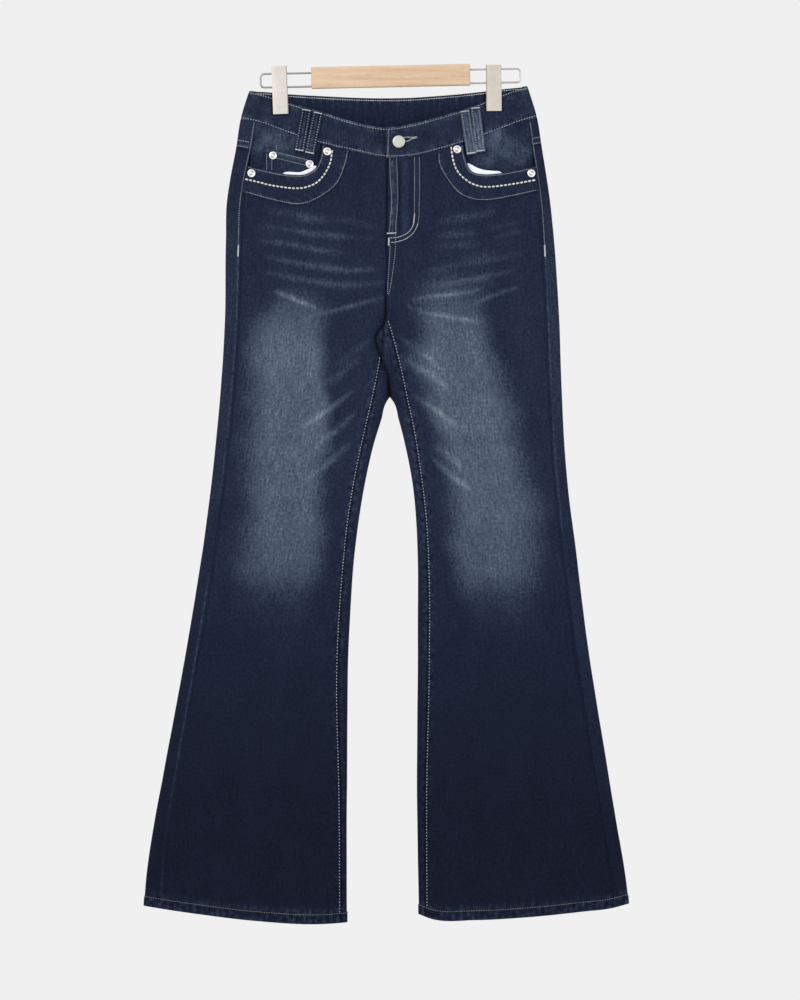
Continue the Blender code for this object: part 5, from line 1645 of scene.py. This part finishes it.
# ------------------------------------------------------------------------------------------------------
# Back pockets: plain five-sided patches on the seat, with a shallow point, two rows of stitches round
# them and two across the hem at the top.
# ------------------------------------------------------------------------------------------------------
POCKET_HALF, POCKET_FOOT = 74.0, 65.0
POCKET_TOP, POCKET_SIDE, POCKET_POINT = -172.0, -322.0, -339.0
for side in (RIGHT, LEFT):
    middle = side * 96.0 + read(CENTRE, "x", -200.0)
    share = edge_shares(34) * 2 - 1
    down = edge_shares(34)[:, None]
    half = POCKET_HALF - (POCKET_HALF - POCKET_FOOT) * down
    x = middle + half * share
    top = POCKET_TOP - side * share * 4.0
    z = top + (POCKET_SIDE + (POCKET_POINT - POCKET_SIDE) * (1 - np.abs(share)) - top) * down
    from_edge = np.minimum((1 - np.abs(share)) * half, np.minimum(down, 1 - down) * 150)
    cloth(
        sided("back_pocket", side),
        spots_at(x, z, BACK, side),
        denim,
        POCKET_CLOTH,
        BAND_TOP + edge_roll(from_edge),
        hangs_from=[sided("back_leg", side)],
    )

    runs = []
    for inset in (2.2, 7.6):
        top_x, low_x, low_z = POCKET_HALF - inset, POCKET_FOOT - inset, POCKET_SIDE + inset * 0.9
        tops = [(aside, POCKET_TOP - 2.0 - side * aside / POCKET_HALF * 4) for aside in (-top_x, top_x)]
        outline = [tops[0], (-low_x, low_z), (0.0, POCKET_POINT + inset), (low_x, low_z), tops[1]]
        outline = np.array(outline) + (middle, 0.0)
        runs += [row(line, BACK, BAND_TOP) for line in zip(outline, outline[1:])]
    for drop in (12.0, 18.0):
        line = [(middle + end * 71.5, POCKET_TOP - side * end * 3.9 - drop) for end in (-1, 1)]
        runs.append(row(line, BACK, BAND_TOP))
    sew(sided("back_pocket_stitches", side), runs)

# ------------------------------------------------------------------------------------------------------
# Rivets and button: pressed nickel-plated brass. Each rivet has a rolled rim, a sunk ring and a pip; the
# shank button is a shallow satin disc, pushed through the buttonhole.
# ------------------------------------------------------------------------------------------------------
FACETS = 40
RIVETS = [
    ("rivet_right_side", -176.0, -137.4),
    ("rivet_right_waist", -80.1, -109.6),
    ("rivet_coin_outer", -149.1, -114.6),
    ("rivet_coin_inner", -102.5, -125.5),
    ("rivet_left_waist", 84.7, -106.9),
    ("rivet_left_side", 178.2, -137.4),
]
# Distance out from the cloth, radius and tone, from the back of the rim to the top of the pip; the tone is
# painted shade, darkest in the sunk ring
RIVET_SHAPE = [
    (0, 4.3, 1), (0.3, 4.75, 1), (0.7, 5.0, 1), (1.05, 4.95, 1), (1.3, 4.65, 1), (1.4, 4.2, 1),
    (1.35, 3.65, 1), (1.15, 3.2, 0.9), (0.85, 2.95, 0.56), (0.7, 2.6, 0.5), (0.7, 2.1, 0.52), (0.8, 1.7, 0.6),
    (1.05, 1.4, 0.8),
    (1.25, 1.0, 0.86), (1.32, 0.5, 0.86),
]
# Distance out, radius and tone of the button's rings; the tone is painted shade where its rim curves and dips
BUTTON_SHAPE = [
    (0, 1.6, 1), (0.05, 6.0, 1), (0.25, 7.1, 0.9), (0.6, 7.7, 0.85), (1.1, 7.95, 0.85), (1.6, 7.9, 0.9),
    (2.0, 7.6, 1), (2.25, 7.1, 1), (2.36, 6.5, 0.97), (2.34, 6.0, 0.94), (2.36, 5.2, 0.97), (2.44, 3.4, 1),
    (2.5, 1.8, 1),
]


def turned(node, shape, x, z, lift, finish):
    """Piece in place of a solid, turned about the cloth's outward direction from its shape's rows."""
    centre, outward = skin(*spots_at(x, z))
    first = unit(np.cross(outward, (0.0, 0.0, 1.0)))
    second = np.cross(outward, first)
    turn = np.arange(FACETS) * 2 * math.pi / FACETS
    ring = np.cos(turn)[:, None] * first + np.sin(turn)[:, None] * second
    out, radius, tone = np.array(shape).T
    rings = centre + outward * (lift + out)[:, None, None] + ring * radius[:, None, None]
    ends = centre + outward * (lift + np.array([[out[0]], [out[-1] + 0.02]]))
    number = np.arange(len(shape) * FACETS).reshape(len(shape), FACETS)
    beside = np.roll(number, -1, axis=1)
    walls = np.stack([number[:-1], beside[:-1], beside[1:], number[1:]], axis=-1).reshape(-1, 4)
    last = len(shape) * FACETS
    caps = [(last, b, a) for a, b in zip(number[0], beside[0])]
    caps += [(last + 1, a, b) for a, b in zip(number[-1], beside[-1])]
    points = np.concatenate([rings.reshape(-1, 3), ends])
    piece = mesh_piece(node + "_metal", points, walls.tolist() + caps, finish, 60)
    # each ring's tone is painted shade on the metal's colour
    give(piece, "tone", np.append(np.repeat(tone, FACETS), [tone[0], tone[-1]]))
    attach(piece, "root")
    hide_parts(node)


def metal_finish(name, colour, rough, brushed=(700.0, 700.0, 700.0), painted_shading=None):
    """Plated metal with a satin grain that spreads its gloss unevenly, and, where a function is given, the
    painted shading it lays on its colour.
    """
    made = Finish(name, Metallic=1.0)
    where = made.place()
    grain, cloud = made.noise(where, brushed), made.noise(where, (90.0, 90.0, 90.0), seed=4.0)
    base = made.ramp(cloud * 1.5 + 0.6, (0.0, np.array(colour) * 0.93), (1.0, colour))
    if painted_shading:
        sockets = {0: base, "Scale": painted_shading(made, where)}
        base = made.node("ShaderNodeVectorMath", {"operation": "SCALE"}, sockets)
    made.shade(Base_Color=base, Roughness=grain * 0.12 + cloud * 0.1 + rough)
    made.bump(grain, 0.25, 0.00008)
    return made.material


def ring_shade(made, where):
    """Painted shade that a turned piece holds for each of its rings."""
    return made.held("tone")


plated = metal_finish("plated rivets", (0.88, 0.87, 0.85), 0.34, painted_shading=ring_shade)
for node, x, z in RIVETS:
    seat = COIN_STEP - float(facing_inset(RIGHT, x, z)) if "coin" in node else BAND_TOP
    turned(node, RIVET_SHAPE, x, z, seat + 0.35, plated)
satin = metal_finish("satin button", (0.575, 0.57, 0.52), 0.42, painted_shading=ring_shade)
turned("button", BUTTON_SHAPE, *BUTTON_AT, 0.5, satin)

# ------------------------------------------------------------------------------------------------------
# Hanger: a beech bar with a bent steel wire in each end, and a folded nickel clip hung over each wire.
# These are the solids themselves, with their own finishes.
# ------------------------------------------------------------------------------------------------------
beech = Finish("oiled beech", Specular_IOR_Level=0.35)
where = beech.place()
figure = beech.noise(where, (7.0, 60.0, 150.0), 3.0)
fibre = beech.noise(where, (60.0, 900.0, 1500.0), seed=3.0)
ray = beech.noise(where, (160.0, 700.0, 900.0), 1.0, 9.0)
wood = [(0.0, (0.43, 0.278, 0.163)), (0.5, (0.553, 0.397, 0.27)), (1.0, (0.65, 0.50, 0.36))]
beech.shade(Base_Color=beech.ramp(figure * 1.5 + fibre * 0.8 + ray * 0.4 + 0.5, *wood))
beech.shade(Roughness=fibre * 0.2 + 0.5)
beech.bump(fibre, 0.3, 0.0001)


def clip_shading(x, z, lean, *steps):
    """Painted shading across a clip that leans about (x, z): painted shade where its plate turns over, with a
    painted highlight.
    """

    def tone(made, where):
        aside = (math.cos(lean), 0.0, math.sin(lean))
        middle = (x * aside[0] + z * aside[2]) * MM
        stops = [(at, (grey,) * 3) for at, grey in steps]
        return made.ramp((made.dot(where, aside) - middle) * 50.0 + 0.5, *stops)

    return tone


clip_grain = (900.0, 900.0, 60.0)
# Painted shading across each clip from its left edge to its right: painted shade at the turned edges, a
# painted highlight inside one
RIGHT_CLIP_SHADING = [
    (0.0, 0.72), (0.04, 0.92), (0.075, 1.09), (0.18, 1.04), (0.32, 0.985), (0.9, 0.965), (0.945, 0.66),
    (1.0, 0.32),
]
LEFT_CLIP_SHADING = [
    (0.0, 0.30), (0.05, 0.55), (0.085, 1.0), (0.18, 1.03), (0.32, 0.99), (0.9, 0.985), (0.955, 0.9),
    (1.0, 0.62),
]
right_clip_shading = clip_shading(-140.4, -31.0, math.radians(2.2), *RIGHT_CLIP_SHADING)
left_clip_shading = clip_shading(131.2, -28.4, math.radians(0.3), *LEFT_CLIP_SHADING)
# The clips are one nickel and the wires one steel: the darker colour of each pair is a painted shaded copy,
# the lighter one a painted lit copy
for node, finish in (
    ("wood_bar", beech.material),
    ("wire_left", metal_finish("steel wire", (0.50, 0.505, 0.49), 0.5)),
    ("wire_right", metal_finish("shaded steel wire", (0.34, 0.345, 0.34), 0.5)),
    ("clip_left", metal_finish("shaded nickel clip", (0.675, 0.617, 0.545), 0.36, clip_grain, left_clip_shading)),
    ("clip_right", metal_finish("lit nickel clip", (0.735, 0.682, 0.63), 0.36, clip_grain, right_clip_shading)),
):
    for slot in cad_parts[node].material_slots:
        slot.material = finish

# ------------------------------------------------------------------------------------------------------
# Floor, light and camera: pale floor under the hanging jeans, a bright even studio, and the camera level
# with the middle of the jeans.
# ------------------------------------------------------------------------------------------------------
FLOOR_Z = -1.75
FLOOR_RADIUS = 3.0
turn = np.arange(96) * 2 * math.pi / 96
rim = np.stack([FLOOR_RADIUS * np.cos(turn), FLOOR_RADIUS * np.sin(turn), np.full(96, FLOOR_Z)], axis=1)
floor_finish = Finish("pale floor", Roughness=0.9, Specular_IOR_Level=0.1, Base_Color=(0.62, 0.62, 0.62, 1.0))
floor = mesh_piece("floor", rim / MM, [range(96)], floor_finish.material)

world = bpy.data.worlds.new("studio")
bpy.context.scene.world = world
world.use_nodes = True
sky = world.node_tree.nodes["Background"].inputs
sky["Color"].default_value = (*linear(240, 240, 240), 1.0)
sky["Strength"].default_value = 1.0
bpy.context.scene.view_settings.view_transform = "Standard"


def softbox(name, place_, size, watts):
    """Square area light that looks at the middle of the jeans."""
    lamp = bpy.data.lights.new(name, "AREA")
    lamp.shape = "SQUARE"
    lamp.size = size
    lamp.energy = watts
    made = bpy.data.objects.new(name, lamp)
    made.location = place_
    x, y, z = np.array([0.0, 0.0, -0.55]) - place_
    made.rotation_euler = (math.atan2(math.hypot(x, y), -z), 0.0, math.atan2(-x, y))
    bpy.context.collection.objects.link(made)


softbox("key_light", (-1.9, -2.6, 1.2), 1.6, 60.0)
softbox("fill_light", (2.2, -2.4, -0.4), 2.0, 22.0)

# The camera stands back far enough to show the front almost without perspective
CAMERA_BACK = 8.0
VIEW_HEIGHT = 1.27
camera = bpy.data.objects.new("camera", bpy.data.cameras.new("camera"))
bpy.context.collection.objects.link(camera)
camera.data.sensor_width = 36.0
camera.data.lens = CAMERA_BACK / VIEW_HEIGHT * 36.0
camera.location = (0.01206, -CAMERA_BACK, -0.55156)
camera.rotation_euler = (math.radians(90.0), 0.0, 0.0)
bpy.context.scene.camera = camera
